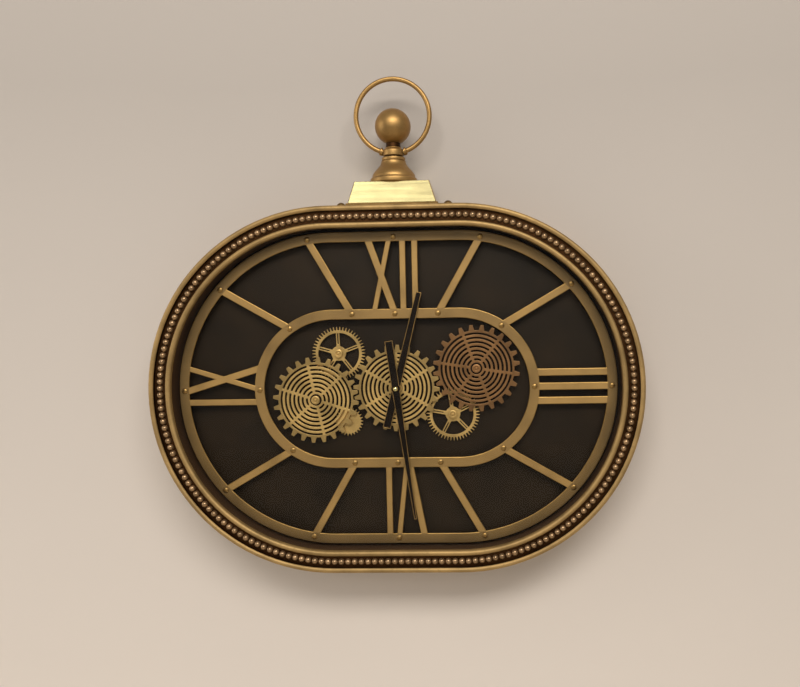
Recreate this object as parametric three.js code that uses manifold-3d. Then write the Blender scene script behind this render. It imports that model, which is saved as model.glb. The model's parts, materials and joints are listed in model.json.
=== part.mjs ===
// Gear wall clock: a stadium-shaped case with a glazed front, an open dial frame over a train of
// show gears, two hands on a quartz movement, and a finial with a swinging bow ring on top.
//
// Pieces are drawn as the clock is seen from the front: x right, y up, z out of the wall towards
// the viewer, in millimetres, with z = 0 on the wall and the hands' axis at x = y = 0. At the end
// the drawing is stood up, so that +Z is up and the front faces -Y.
import * as THREE from 'three';
import { mergeVertices } from 'three/addons/utils/BufferGeometryUtils.js';
import Module from 'manifold-3d';

const wasm = await Module();
wasm.setup();

// Clearances
const fit = 0.3; // round pieces that sit one inside the other
const running = 0.4; // a turning piece on its post
const endPlay = 0.3; // a turning piece along its post
const seat = 0.1; // a show gear on its hub's shoulder

// Case: every closed outline is an offset of one straight, level spine
const halfSpine = 70;
const bandRadius = 194;
const bandWall = 2;
const flangeWidth = 16;
const flangeThickness = 2;
const ledgeWidth = 6;
const ledgeThickness = 2;
const rearRecess = 36; // wall to the back of the panel
const panelThickness = 3;
const linerSetback = 13.5; // inside of the band to the outside of the liner
const linerWall = 1.5;
const glassThickness = 3;
const glassAir = 1.6; // hand nut to glass

// Bezel section
const bezelOverhang = 6; // rim beyond the band
const rimWidth = 6;
const rimHeight = 6.7;
const channelWidth = 12;
const channelFloor = 2;
const lipWidth = 6;
const lipHeight = 5.7;
const skirtWall = 2;
const skirtLength = 9;
const rimRise = 5; // back of the rim, above the skirt's foot
const beadRadius = 3.1;
const beadLift = 0.9; // beads' centre line above the channel's floor

// Dial frame: two rings joined by the hour marks
const dialThickness = 1.6;
const dialLift = 0.3; // front of the show gears to the back of the dial frame
const dialMargin = 4; // inside of the liner to the outer ring's edge
const innerRingRadius = 88;
const ringWidth = 11;
const hourBar = 8;
const thickStroke = 7.6;
const thinStroke = 5.8;
const numeralBar = 6.8;
const postRadius = 2.2;
const postRingInset = 6; // rivet line in from the outer ring's edge

// Strokes of the full numerals: offset across the numeral at its outer and its inner end
const numeralStrokes = {
  12: [
    [-29.5, 0.5, thickStroke],
    [-4.5, -23, thinStroke],
    [9.7, 9.7, numeralBar],
    [23, 23, numeralBar],
  ],
  3: [
    [-15.6, -15.6, hourBar],
    [0, 0, hourBar],
    [15.6, 15.6, hourBar],
  ],
  6: [
    [-29, -13, thickStroke],
    [0, -10, thinStroke],
    [10, 10, numeralBar],
  ],
  9: [
    [-13.3, -13.3, numeralBar],
    [-1.5, 24, thickStroke],
    [26.5, 0.5, thinStroke],
  ],
};

// Show gears
const gearTeeth = 24;
const gearModule = 3.8;
const gearAddendum = 2.4;
const gearDedendum = 3.6;
const toothTipWidth = 3.4;
const toothRootWidth = 6.2;
const gearThickness = 2.2;
const gearStep = 1.7; // wheel to show gear on one hub
const slotRows = 7;
const slotWidth = 2.2;
const gearSpokes = 6;
const gearSpokeWidth = 2.4;
const gearRim = 2.4; // root circle to the outermost slot
const leftBearing = 187.6; // direction of the left gear from the centre gear
const rightBearing = 13.1;
const rightToothAngle = 6.1;
const gearSpokeAngles = { left: 42, centre: 30, right: 51 };

// Fine wheels
const wheelTeeth = 50;
const pinionTeeth = 26;
const fineModule = 1.15;
const fineAddendum = 0.95;
const fineDedendum = 1.45;
const wheelThickness = 1.8;
const wheelRim = 4.4; // root circle to the windows
const wheelSpokes = 5;
const wheelSpokeWidth = 3.8;
const wheelStarRadius = 8.2;
const upperBearing = 63; // direction of the upper wheel from the left gear
const lowerBearing = 242; // direction of the lower wheel from the right gear
const pinionBearing = -35; // direction of the pinion from the left gear
const wheelSpokeAngles = { upper: 20, lower: 26 };

// Hubs and posts
const hubRadius = 6.2;
const hubFlangeRadius = 8.6;
const hubFoot = 0.6;
const smallHubRadius = 4.6;
const smallHubRise = 1;
const gearPostRadius = 2.5;
const postFootRadius = 6;
const postStub = 2.5;
const postHeadRadius = 4.8;
const postHeadHeight = 2;

// Movement, bush and hands
const movementSide = 56;
const movementDepth = 16;
const movementCorner = 5;
const bushRadius = 4;
const bushWall = 0.7;
const bushNutRadius = 7;
const bushNutHeight = 2.2;
const collarWall = 1.9;
const tubeWall = 0.8;
const arborRadius = 1.8;
const handThickness = 1.2;
const handGap = 1.2;
const handHubRadius = 5.4;
const handWidth = 8.7;
const hourReach = 109;
const hourTail = 45;
const hourTipWidth = 6;
const hourAngle = 75.6; // counter-clockwise from three o'clock
const minuteReach = 146;
const minuteTail = 53;
const minuteTipWidth = 2.7;
const minuteAngle = -82.5;
const handNutRadius = 2.9;
const handNutHeight = 4;
const handNutSkirt = 1.6; // straight part below the dome
const arborReach = 2; // above the minute hand
const knobRadius = 7;
const knobThickness = 4;
const knobStemRadius = 2;
const knobStemLength = 5;
const knobOffset = 12;

// Cells, motor and hanger
const cellRadius = 7.1;
const cellLength = 50;
const cellNubRadius = 2.7;
const cellNubLength = 1.2;
const holderWall = 1.6;
const cellHolderCentre = [85, -20];
const motorRadius = 12;
const motorLength = 17;
const shaftRadius = 1.5;
const shaftSeat = 4;
const hangerWidth = 52;
const hangerHeight = 30;
const hangerThickness = 1.5;
const hangerDrop = 4; // from the inside of the band
const hangerScrewSpan = 36;
const hangerScrewInset = 5;
const keyholeRadius = 5;
const keySlotRadius = 2.2;
const keySlotRise = 7;
const keyholeInset = 9;
const smallScrewRadius = 1.5;
const smallScrewHeadRadius = 3;
const smallScrewHeadHeight = 1.6;

// Plinth, finial and bow
const saddleHalfWidth = 66;
const saddleFlange = 3;
const saddleBlockHalfWidth = 49;
const saddleSetback = 1; // behind the bezel's skirt
const plinthScrewInset = 6; // in from the saddle's end
const plinthScrewHeadRadius = 5.2;
const plinthScrewHeadHeight = 10.5;
const plinthScrewRadius = 2;
const plinthStrip = 3;
const plinthStripMargin = 2;
const plinthHeight = 24;
const plinthHalfWidth = 48.5;
const plinthHalfDepth = 24;
const plinthTopHalfWidth = 41;
const plinthTopHalfDepth = 21.5;
const plinthWall = 1.6;
const finialStudRadius = 4;
const finialStudLength = 8;
const footRadius = 26.1;
const footHeight = 4.6;
const bellRadius = 24;
const bellEase = 1.8; // foot's edge up to the bell
const bellHeight = 17.8;
const waistRadius = 13.6;
const waistStep = 0.6;
const waistRingRadius = 13;
const waistRingHeight = 3.6;
const collarGap = 1.2;
const collarRadius = 11.4;
const collarHeight = 9.5;
const collarEase = 1;
const collarShoulder = 2.6;
const neckTaper = 2.6;
const neckHeight = 5.4;
const neckMargin = 0.6; // beyond the ball's seat
const ballRadius = 19.9;
const ballSeatRadius = 7.4;
const bowRadius = 41;
const bowWireRadius = 2.7;

// Shoulder of a domed head, as shares of its radius and height
const domeShoulder = { radius: 0.8, height: 0.72 };

// Facet counts
const arcSteps = 16; // half turn of the case outline
const crestSteps = 4; // half turn of a rounded edge
const bellSteps = 4;
const boreSteps = 12;
const pinSteps = 8;
const screwSteps = 6;
const turnedSteps = 14;
const ballRings = 8;
const bowSteps = 28;

// Layers out from the wall
const panelFront = rearRecess + panelThickness;
const hubRear = panelFront + bushNutHeight + endPlay;
const wheelRear = hubRear + hubFoot;
const wheelFront = wheelRear + wheelThickness;
const gearRear = wheelFront + gearStep;
const gearFront = gearRear + gearThickness;
const headRear = gearFront + endPlay;
const headFront = headRear + postHeadHeight;
const hourRear = headFront + handGap;
const hourFront = hourRear + handThickness;
const minuteRear = hourFront + handGap;
const minuteFront = minuteRear + handThickness;
const glassRear = minuteFront + handNutHeight + glassAir;
const glassFront = glassRear + glassThickness;
const bandFront = glassFront - fit;
const dialRear = gearFront + dialLift;
const dialFront = dialRear + dialThickness;

// Radii of the case, from the band inwards
const bandInside = bandRadius - bandWall;
const insetRadius = bandInside - fit; // what drops into the band
const linerRadius = bandInside - linerSetback;
const outerRingRadius = linerRadius - linerWall - dialMargin;
const bezelRadius = bandRadius + bezelOverhang;
const channelOuter = bezelRadius - rimWidth;
const channelInner = channelOuter - channelWidth;
const lipInner = channelInner - lipWidth;

// Gear sizes and places
const gearPitch = (gearTeeth * gearModule) / 2;
const wheelPitch = (wheelTeeth * fineModule) / 2;
const pinionPitch = (pinionTeeth * fineModule) / 2;

// Plain geometry

const radians = THREE.MathUtils.degToRad;

function polar(radius, degrees, centre = [0, 0]) {
  const angle = radians(degrees);
  return [centre[0] + radius * Math.cos(angle), centre[1] + radius * Math.sin(angle)];
}

const centreAxis = [0, 0];
const leftAxis = polar(2 * gearPitch, leftBearing);
const rightAxis = polar(2 * gearPitch, rightBearing);
const upperAxis = polar(2 * wheelPitch, upperBearing, leftAxis);
const lowerAxis = polar(2 * wheelPitch, lowerBearing, rightAxis);
const pinionAxis = polar(wheelPitch + pinionPitch, pinionBearing, leftAxis);

function arc(radius, from, to, steps, centre = [0, 0]) {
  const points = [];
  for (let i = 0; i <= steps; i += 1) {
    points.push(polar(radius, from + ((to - from) * i) / steps, centre));
  }
  return points;
}

function circle(radius, steps, centre = [0, 0]) {
  return arc(radius, 0, 360, steps, centre).slice(0, steps);
}

function stadium(radius) {
  const right = arc(radius, -90, 90, arcSteps, [halfSpine, 0]);
  const left = arc(radius, 90, 270, arcSteps, [-halfSpine, 0]);
  return [...right, ...left];
}

function rectangle(halfWidth, bottom, top) {
  return [[-halfWidth, bottom], [halfWidth, bottom], [halfWidth, top], [-halfWidth, top]];
}

function moved(points, centre) {
  return points.map(([x, y]) => [x + centre[0], y + centre[1]]);
}

function vectors(points) {
  return points.map(([x, y]) => new THREE.Vector2(x, y));
}

// A flat plate between two heights, from an outline and its holes
function plate(outline, holes, rear, front) {
  const shape = new THREE.Shape(vectors(outline));
  shape.holes = holes.map((hole) => new THREE.Path(vectors(hole)));
  const geometry = new THREE.ExtrudeGeometry(shape, { depth: front - rear, bevelEnabled: false });
  return geometry.translate(0, 0, rear);
}

// A turned piece about the z axis, from a profile of [radius, z] that starts and ends on the axis
// or closes on itself
function turned(profile, steps, centre = [0, 0]) {
  const geometry = new THREE.LatheGeometry(vectors(profile), steps);
  return geometry.rotateX(Math.PI / 2).translate(centre[0], centre[1], 0);
}

// A tube about the z axis
function sleeve(inner, outer, rear, front, steps, centre = [0, 0]) {
  return plate(circle(outer, steps, centre), [circle(inner, steps, centre)], rear, front);
}

// A section of [radius, z] carried round the stadium
function swept(section) {
  const stations = [];
  for (const [centreX, start] of [[halfSpine, -90], [-halfSpine, 90]]) {
    for (let i = 0; i <= arcSteps; i += 1) {
      stations.push([centreX, start + (180 * i) / arcSteps]);
    }
  }
  const positions = [];
  for (const [centreX, degrees] of stations) {
    for (const [radius, z] of section) {
      positions.push(...polar(radius, degrees, [centreX, 0]), z);
    }
  }
  const count = section.length;
  const index = [];
  for (let i = 0; i < stations.length; i += 1) {
    const here = i * count;
    const next = ((i + 1) % stations.length) * count;
    for (let j = 0; j < count; j += 1) {
      const k = (j + 1) % count;
      index.push(here + j, next + j, next + k, here + j, next + k, here + k);
    }
  }
  const geometry = new THREE.BufferGeometry();
  geometry.setAttribute('position', new THREE.Float32BufferAttribute(positions, 3));
  geometry.setIndex(index);
  return geometry;
}

// A four-sided block that tapers upwards, about the plinth's upright axis
function taperedBlock(bottom, top, halfWidths, halfDepths, centreZ) {
  const positions = [];
  [bottom, top].forEach((y, level) => {
    const w = halfWidths[level];
    const d = halfDepths[level];
    positions.push(-w, y, centreZ + d, w, y, centreZ + d, w, y, centreZ - d, -w, y, centreZ - d);
  });
  const index = [0, 3, 2, 0, 2, 1, 4, 5, 6, 4, 6, 7];
  for (let i = 0; i < 4; i += 1) {
    const j = (i + 1) % 4;
    index.push(i, j, j + 4, i, j + 4, i + 4);
  }
  const geometry = new THREE.BufferGeometry();
  geometry.setAttribute('position', new THREE.Float32BufferAttribute(positions, 3));
  geometry.setIndex(index);
  return geometry;
}

// Joining and cutting

function toSolid(geometry) {
  const bare = geometry.clone();
  bare.deleteAttribute('normal');
  bare.deleteAttribute('uv');
  const merged = mergeVertices(bare, 1e-4);
  const corners = merged.index.array;
  const triangles = [];
  for (let i = 0; i < corners.length; i += 3) {
    const [a, b, c] = [corners[i], corners[i + 1], corners[i + 2]];
    if (a !== b && b !== c && c !== a) triangles.push(a, b, c);
  }
  return new wasm.Manifold(new wasm.Mesh({
    numProp: 3,
    vertProperties: merged.attributes.position.array,
    triVerts: new Uint32Array(triangles),
  }));
}

function toGeometry(solid) {
  const mesh = solid.getMesh();
  const geometry = new THREE.BufferGeometry();
  geometry.setAttribute('position', new THREE.Float32BufferAttribute(mesh.vertProperties, 3));
  geometry.setIndex(Array.from(mesh.triVerts));
  return geometry;
}

function join(...geometries) {
  const solids = geometries.map(toSolid);
  return toGeometry(solids.reduce((whole, solid) => whole.add(solid)).asOriginal());
}

function cut(geometry, ...tools) {
  const solids = tools.map(toSolid);
  return toGeometry(solids.reduce((whole, solid) => whole.subtract(solid), toSolid(geometry)));
}

// Materials

function metal(color, roughness) {
  return new THREE.MeshStandardMaterial({ color, roughness, metalness: 0.9 });
}

function plain(color, roughness) {
  return new THREE.MeshStandardMaterial({ color, roughness, metalness: 0 });
}

const finish = {
  antiqueGold: () => metal(0x8c6b36, 0.42),
  beadBronze: () => metal(0xa9825c, 0.35),
  polishedBrass: () => metal(0xe6cf7a, 0.2),
  satinBrass: () => metal(0xa98a52, 0.45),
  gearGold: () => metal(0xa8884a, 0.45),
  copper: () => metal(0xa0704e, 0.45),
  darkBronze: () => metal(0x2c211a, 0.4),
  steel: () => metal(0x9a9a98, 0.4),
  blackPaint: () => plain(0x17130f, 0.6),
  blackPlastic: () => plain(0x1b1b1c, 0.5),
  cellWrap: () => plain(0x2e5f46, 0.4),
  clearGlass: () => new THREE.MeshStandardMaterial({
    color: 0xdfe6e4, roughness: 0.05, metalness: 0, transparent: true, opacity: 0.15,
  }),
};

const drawing = new THREE.Group();

function addPiece(name, geometry, material) {
  const mesh = new THREE.Mesh(geometry, material);
  mesh.name = name;
  drawing.add(mesh);
}

// Half profile of a domed head, from its edge to the axis
function dome(radius, foot, height) {
  return [
    [radius, foot],
    [radius * domeShoulder.radius, foot + height * domeShoulder.height],
    [0, foot + height],
  ];
}

// Screws: shank from the head's seat backwards, domed head in front, about the z axis
function screw(shankRadius, length, headRadius, headHeight, headSeat, centre = [0, 0]) {
  return turned([
    [0, headSeat - length],
    [shankRadius, headSeat - length],
    [shankRadius, headSeat],
    ...dome(headRadius, headSeat, headHeight),
  ], screwSteps, centre);
}

function addCase() {
  const bandSection = [
    [bandRadius - flangeWidth, 0],
    [bandRadius, 0],
    [bandRadius, bandFront],
    [bandInside, bandFront],
    [bandInside, rearRecess],
    [bandInside - ledgeWidth, rearRecess],
    [bandInside - ledgeWidth, rearRecess - ledgeThickness],
    [bandInside, rearRecess - ledgeThickness],
    [bandInside, flangeThickness],
    [bandRadius - flangeWidth, flangeThickness],
  ];
  const holes = [
    ...hangerScrewPlaces().map((place) => pinHole(place, smallScrewRadius, 0, flangeThickness)),
    ...plinthScrewPlaces().map((x) => plinthScrewHole(x)),
  ];
  addPiece('case_band', cut(swept(bandSection), ...holes), finish.antiqueGold());

  const gearHoles = [leftAxis, rightAxis, upperAxis, lowerAxis];
  const panelHoles = [
    circle(bushRadius + fit, boreSteps),
    circle(shaftRadius + running, pinSteps, pinionAxis),
    ...gearHoles.map((axis) => circle(gearPostRadius + fit, pinSteps, axis)),
  ];
  const panel = plate(stadium(insetRadius), panelHoles, rearRecess, panelFront);
  addPiece('back_panel', panel, finish.blackPaint());

  const linerSection = [
    [linerRadius - linerWall, panelFront],
    [linerRadius, panelFront],
    [linerRadius, glassRear],
    [linerRadius - linerWall, glassRear],
  ];
  addPiece('liner_band', swept(linerSection), finish.blackPaint());
  addPiece('glass', plate(stadium(insetRadius), [], glassRear, glassFront), finish.clearGlass());
}

// A hole about the z axis that runs past both faces
function pinHole(centre, radius, rear, front) {
  const past = fit;
  return plate(circle(radius + fit, pinSteps, centre), [], rear - past, front + past);
}

// Bezel

const skirtInside = bandRadius + fit;
const skirtOutside = skirtInside + skirtWall;
const skirtFoot = glassFront - skirtLength;

// Half-round crest of an edge that starts at its outer radius
function crest(outerRadius, width, top) {
  const half = width / 2;
  return arc(half, 0, 180, crestSteps, [outerRadius - half, top - half]);
}

function addBezel() {
  const floor = glassFront + channelFloor;
  const section = [
    [skirtInside, skirtFoot],
    [skirtOutside, skirtFoot],
    [skirtOutside, skirtFoot + rimRise],
    [bezelRadius, glassFront - fit],
    ...crest(bezelRadius, rimWidth, glassFront + rimHeight),
    [channelOuter, floor],
    [channelInner, floor],
    ...crest(channelInner, lipWidth, glassFront + lipHeight),
    [lipInner, glassFront],
    [skirtInside, glassFront],
  ];
  addPiece('bezel', swept(section), finish.antiqueGold());

  const beadLine = (channelOuter + channelInner) / 2;
  const beads = swept([
    [beadLine - beadRadius, floor],
    [beadLine + beadRadius, floor],
    ...crest(beadLine + beadRadius, 2 * beadRadius, floor + beadLift + beadRadius),
  ]);
  addPiece('bead_wire', beads, finish.beadBronze());
}

// Dial frame

// How far out along a ray a stadium of this radius lies
function rayReach(radius, degrees) {
  const [c, s] = polar(1, degrees);
  const flat = radius / Math.abs(s);
  if (Math.abs(flat * c) <= halfSpine) return flat;
  const along = halfSpine * Math.abs(c);
  return along + Math.sqrt(along * along - halfSpine * halfSpine + radius * radius);
}

// A straight stroke of the dial, from the middle of the inner ring to the middle of the outer
function stroke(hourDegrees, outerOffset, innerOffset, width) {
  const inner = rayReach(innerRingRadius - ringWidth / 2, hourDegrees);
  const outer = rayReach(outerRingRadius - ringWidth / 2, hourDegrees);
  const lean = Math.atan2(outerOffset - innerOffset, outer - inner);
  const half = width / 2 / Math.cos(lean);
  const outline = [
    [innerOffset - half, inner],
    [innerOffset + half, inner],
    [outerOffset + half, outer],
    [outerOffset - half, outer],
  ];
  return plate(outline, [], dialRear, dialFront).rotateZ(radians(hourDegrees - 90));
}

function ring(outerRadius, width) {
  return plate(stadium(outerRadius), [stadium(outerRadius - width)], dialRear, dialFront);
}

function hourDegrees(hour) {
  return 90 - 30 * hour;
}

function addDial() {
  const strokes = [];
  for (let hour = 1; hour <= 12; hour += 1) {
    const list = numeralStrokes[hour] ?? [[0, 0, hourBar]];
    list.forEach(([outer, inner, width]) => {
      strokes.push(stroke(hourDegrees(hour), outer, inner, width));
    });
  }
  const rings = [ring(outerRingRadius, ringWidth), ring(innerRingRadius, ringWidth)];
  addPiece('dial_frame', join(...rings, ...strokes), finish.satinBrass());

  for (let hour = 1; hour <= 12; hour += 1) {
    const degrees = hourDegrees(hour);
    const place = polar(rayReach(outerRingRadius - postRingInset, degrees), degrees);
    const post = plate(circle(postRadius, pinSteps, place), [], panelFront, dialRear);
    addPiece(`dial_post_${String(hour).padStart(2, '0')}`, post, finish.darkBronze());
  }
}

// Gear train

// The tooth angle of a gear that meshes with its neighbour along a bearing
function meshAngle(toothAngle, teeth, bearing, nextTeeth) {
  const turns = ((bearing - toothAngle) * teeth) / 360;
  const part = turns - Math.floor(turns);
  return bearing + 180 - (360 / nextTeeth) * (0.5 - part);
}

const toothAngles = { right: rightToothAngle };
toothAngles.centre = meshAngle(toothAngles.right, gearTeeth, rightBearing + 180, gearTeeth);
toothAngles.left = meshAngle(toothAngles.centre, gearTeeth, leftBearing, gearTeeth);
const fineAngles = { left: 0, right: 0, centre: 0 };
fineAngles.upper = meshAngle(fineAngles.left, wheelTeeth, upperBearing, wheelTeeth);
fineAngles.lower = meshAngle(fineAngles.right, wheelTeeth, lowerBearing, wheelTeeth);
fineAngles.pinion = meshAngle(fineAngles.left, wheelTeeth, pinionBearing, pinionTeeth);

// Square-topped teeth of the show gears
function blockTeeth(toothAngle) {
  const tip = gearPitch + gearAddendum;
  const root = gearPitch - gearDedendum;
  const halfTip = THREE.MathUtils.radToDeg(toothTipWidth / 2 / tip);
  const halfRoot = THREE.MathUtils.radToDeg(toothRootWidth / 2 / root);
  const points = [];
  for (let i = 0; i < gearTeeth; i += 1) {
    const middle = toothAngle + (360 * i) / gearTeeth;
    points.push(
      polar(root, middle - halfRoot),
      polar(tip, middle - halfTip),
      polar(tip, middle + halfTip),
      polar(root, middle + halfRoot),
    );
  }
  return points;
}

// Pointed teeth of the fine wheels
function pointedTeeth(pitch, teeth, toothAngle) {
  const points = [];
  for (let i = 0; i < teeth; i += 1) {
    const middle = toothAngle + (360 * i) / teeth;
    points.push(polar(pitch + fineAddendum, middle));
    points.push(polar(pitch - fineDedendum, middle + 180 / teeth));
  }
  return points;
}

// Rows of curved slots between the hub and the rim of a show gear
function gearSlots(spokeAngle, boreRadius) {
  const outermost = gearPitch - gearDedendum - gearRim - slotWidth / 2;
  const innermost = boreRadius + gearRim + slotWidth / 2;
  const slots = [];
  for (let row = 0; row < slotRows; row += 1) {
    const middle = innermost + ((outermost - innermost) * row) / (slotRows - 1);
    const steps = row < 2 ? 1 : 2;
    const outer = middle + slotWidth / 2;
    const inner = middle - slotWidth / 2;
    const clear = THREE.MathUtils.radToDeg(gearSpokeWidth / 2 / middle);
    for (let i = 0; i < gearSpokes; i += 1) {
      const from = spokeAngle + (360 * i) / gearSpokes + clear;
      const to = spokeAngle + (360 * (i + 1)) / gearSpokes - clear;
      slots.push([...arc(outer, from, to, steps), ...arc(inner, to, from, steps)]);
    }
  }
  return slots;
}

function addShowGear(name, axis, material) {
  const bore = hubRadius + fit;
  const holes = [circle(bore, boreSteps), ...gearSlots(gearSpokeAngles[name], bore)];
  const geometry = plate(blockTeeth(toothAngles[name]), holes, gearRear, gearFront);
  addPiece(`${name}_gear`, geometry.translate(...axis, 0), material);
}

// A fine wheel whose hub carries a show gear
function addHubWheel(name, axis, shaft) {
  const bore = shaft + running;
  const disc = plate(
    pointedTeeth(wheelPitch, wheelTeeth, fineAngles[name]),
    [circle(hubRadius, boreSteps)],
    wheelRear,
    wheelFront,
  );
  const hub = turned([
    [bore, hubRear],
    [hubFlangeRadius, hubRear],
    [hubFlangeRadius, gearRear - seat],
    [hubRadius, gearRear - seat],
    [hubRadius, gearFront],
    [bore, gearFront],
    [bore, hubRear],
  ], boreSteps);
  addPiece(`${name}_wheel`, join(disc, hub).translate(...axis, 0), finish.darkBronze());
}

// Windows between the spokes of an open wheel
function wheelWindows(spokeAngle) {
  const outer = wheelPitch - fineDedendum - wheelRim;
  const inner = wheelStarRadius;
  const half = wheelSpokeWidth / 2;
  const outerClear = THREE.MathUtils.radToDeg(Math.asin(half / outer));
  const innerClear = THREE.MathUtils.radToDeg(Math.asin(half / inner));
  const windows = [];
  for (let i = 0; i < wheelSpokes; i += 1) {
    const spoke = spokeAngle + (360 * i) / wheelSpokes;
    const next = spoke + 360 / wheelSpokes;
    windows.push([
      ...arc(outer, spoke + outerClear, next - outerClear, 4),
      ...arc(inner, next - innerClear, spoke + innerClear, 1),
    ]);
  }
  return windows;
}

function addOpenWheel(name, axis) {
  const bore = gearPostRadius + running;
  const disc = plate(
    pointedTeeth(wheelPitch, wheelTeeth, fineAngles[name]),
    [circle(smallHubRadius - fit, boreSteps), ...wheelWindows(wheelSpokeAngles[name])],
    wheelRear,
    wheelFront,
  );
  const hub = sleeve(bore, smallHubRadius, hubRear, wheelFront + smallHubRise, boreSteps);
  addPiece(`${name}_wheel`, join(disc, hub).translate(...axis, 0), finish.gearGold());
}

// A shouldered post: stub in the panel, foot on it, shank and domed head
function addGearPost(name, axis, headSeat) {
  const foot = panelFront + bushNutHeight;
  const post = turned([
    [0, panelFront - postStub],
    [gearPostRadius, panelFront - postStub],
    [gearPostRadius, panelFront],
    [postFootRadius, panelFront],
    [postFootRadius, foot],
    [gearPostRadius, foot],
    [gearPostRadius, headSeat],
    ...dome(postHeadRadius, headSeat, postHeadHeight),
  ], pinSteps, axis);
  addPiece(`${name}_post`, post, finish.polishedBrass());
}

function addTrain() {
  addShowGear('left', leftAxis, finish.gearGold());
  addShowGear('centre', centreAxis, finish.gearGold());
  addShowGear('right', rightAxis, finish.copper());
  addHubWheel('left', leftAxis, gearPostRadius);
  addHubWheel('centre', centreAxis, bushRadius);
  addHubWheel('right', rightAxis, gearPostRadius);
  addOpenWheel('upper', upperAxis);
  addOpenWheel('lower', lowerAxis);
  addGearPost('left', leftAxis, headRear);
  addGearPost('right', rightAxis, headRear);
  const openHead = wheelFront + smallHubRise + endPlay;
  addGearPost('upper', upperAxis, openHead);
  addGearPost('lower', lowerAxis, openHead);

  const pinion = plate(
    pointedTeeth(pinionPitch, pinionTeeth, fineAngles.pinion), [], wheelRear, wheelFront,
  );
  const shaft = plate(circle(shaftRadius, pinSteps), [], rearRecess - shaftSeat, wheelRear + fit);
  const place = [...pinionAxis, 0];
  addPiece('drive_pinion', join(pinion, shaft).translate(...place), finish.gearGold());

  const can = turned([
    [0, rearRecess - motorLength],
    [motorRadius, rearRecess - motorLength],
    [motorRadius, rearRecess],
    [shaftRadius + running, rearRecess],
    [shaftRadius + running, rearRecess - shaftSeat - endPlay],
    [0, rearRecess - shaftSeat - endPlay],
  ], turnedSteps, pinionAxis);
  addPiece('gear_motor', can, finish.steel());
}

// Movement and hands

function roundedSquare(side, corner) {
  const flat = side / 2 - corner;
  return [
    ...arc(corner, 0, 90, 3, [flat, flat]),
    ...arc(corner, 90, 180, 3, [-flat, flat]),
    ...arc(corner, 180, 270, 3, [-flat, -flat]),
    ...arc(corner, 270, 360, 3, [flat, -flat]),
  ];
}

// A dry cell that lies along x
function cell(centre, z) {
  const half = cellLength / 2;
  const body = new THREE.LatheGeometry(vectors([
    [0, -half],
    [cellRadius, -half],
    [cellRadius, half - cellNubLength],
    [cellNubRadius, half - cellNubLength],
    [cellNubRadius, half],
    [0, half],
  ]), boreSteps);
  return body.rotateZ(-Math.PI / 2).translate(...centre, z);
}

// The pocket that a cell drops into from behind
function cellBay(centre, rear, front) {
  const halfWidth = cellLength / 2 + fit;
  const halfHeight = cellRadius + fit;
  const bay = rectangle(halfWidth, -halfHeight, halfHeight);
  return plate(moved(bay, centre), [], rear - fit, front);
}

function addMovement() {
  const rear = rearRecess - movementDepth;
  const cellCentre = [0, -movementSide / 2 + holderWall + fit + cellRadius];
  const cellZ = rear + cellRadius;
  const knobCentre = [knobOffset, knobOffset];
  const box = plate(roundedSquare(movementSide, movementCorner), [], rear, rearRecess);
  const bay = cellBay(cellCentre, rear, cellZ + cellRadius + fit);
  const stemHole = circle(knobStemRadius + running, pinSteps, knobCentre);
  const stemBore = plate(stemHole, [], rear - fit, rear + knobStemLength + fit);
  addPiece('movement_case', cut(box, bay, stemBore), finish.blackPlastic());
  addPiece('movement_cell', cell(cellCentre, cellZ), finish.cellWrap());

  const knob = turned([
    [0, rear - endPlay - knobThickness],
    [knobRadius, rear - endPlay - knobThickness],
    [knobRadius, rear - endPlay],
    [knobStemRadius, rear - endPlay],
    [knobStemRadius, rear + knobStemLength - endPlay],
    [0, rear + knobStemLength - endPlay],
  ], boreSteps, knobCentre);
  addPiece('set_knob', knob, finish.blackPlastic());

  const tubeRadius = bushRadius - bushWall - fit;
  const bush = sleeve(bushRadius - bushWall, bushRadius, rearRecess, headFront, boreSteps);
  addPiece('movement_bush', bush, finish.steel());
  const nutHoles = [circle(bushRadius + fit, boreSteps)];
  const nut = plate(circle(bushNutRadius, 6), nutHoles, panelFront, panelFront + bushNutHeight);
  addPiece('bush_nut', nut, finish.steel());
  const collarBore = bushRadius + fit;
  const collar = sleeve(collarBore, collarBore + collarWall, headRear, headFront, boreSteps);
  addPiece('centre_collar', collar, finish.gearGold());

  const tubeBore = tubeRadius - tubeWall;
  const tube = sleeve(tubeBore, tubeRadius, rearRecess + endPlay, hourFront, boreSteps);
  addPiece('hour_tube', tube, finish.steel());
  const arborTop = minuteFront + arborReach;
  const arbor = plate(circle(arborRadius, boreSteps), [], rearRecess + endPlay, arborTop);
  addPiece('minute_arbor', arbor, finish.steel());

  const hourHand = hand(hourReach, hourTail, hourTipWidth, tubeRadius + fit, hourRear);
  addPiece('hour_hand', hourHand.rotateZ(radians(hourAngle)), finish.darkBronze());
  const minuteHand = hand(
    minuteReach, minuteTail, minuteTipWidth, arborRadius + fit, minuteRear,
  );
  addPiece('minute_hand', minuteHand.rotateZ(radians(minuteAngle)), finish.darkBronze());

  const handNut = turned([
    [0, arborTop + fit],
    [arborRadius + fit, arborTop + fit],
    [arborRadius + fit, minuteFront],
    [handNutRadius, minuteFront],
    ...dome(handNutRadius, minuteFront + handNutSkirt, handNutHeight - handNutSkirt),
  ], boreSteps);
  addPiece('hand_nut', handNut, finish.polishedBrass());
}

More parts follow.
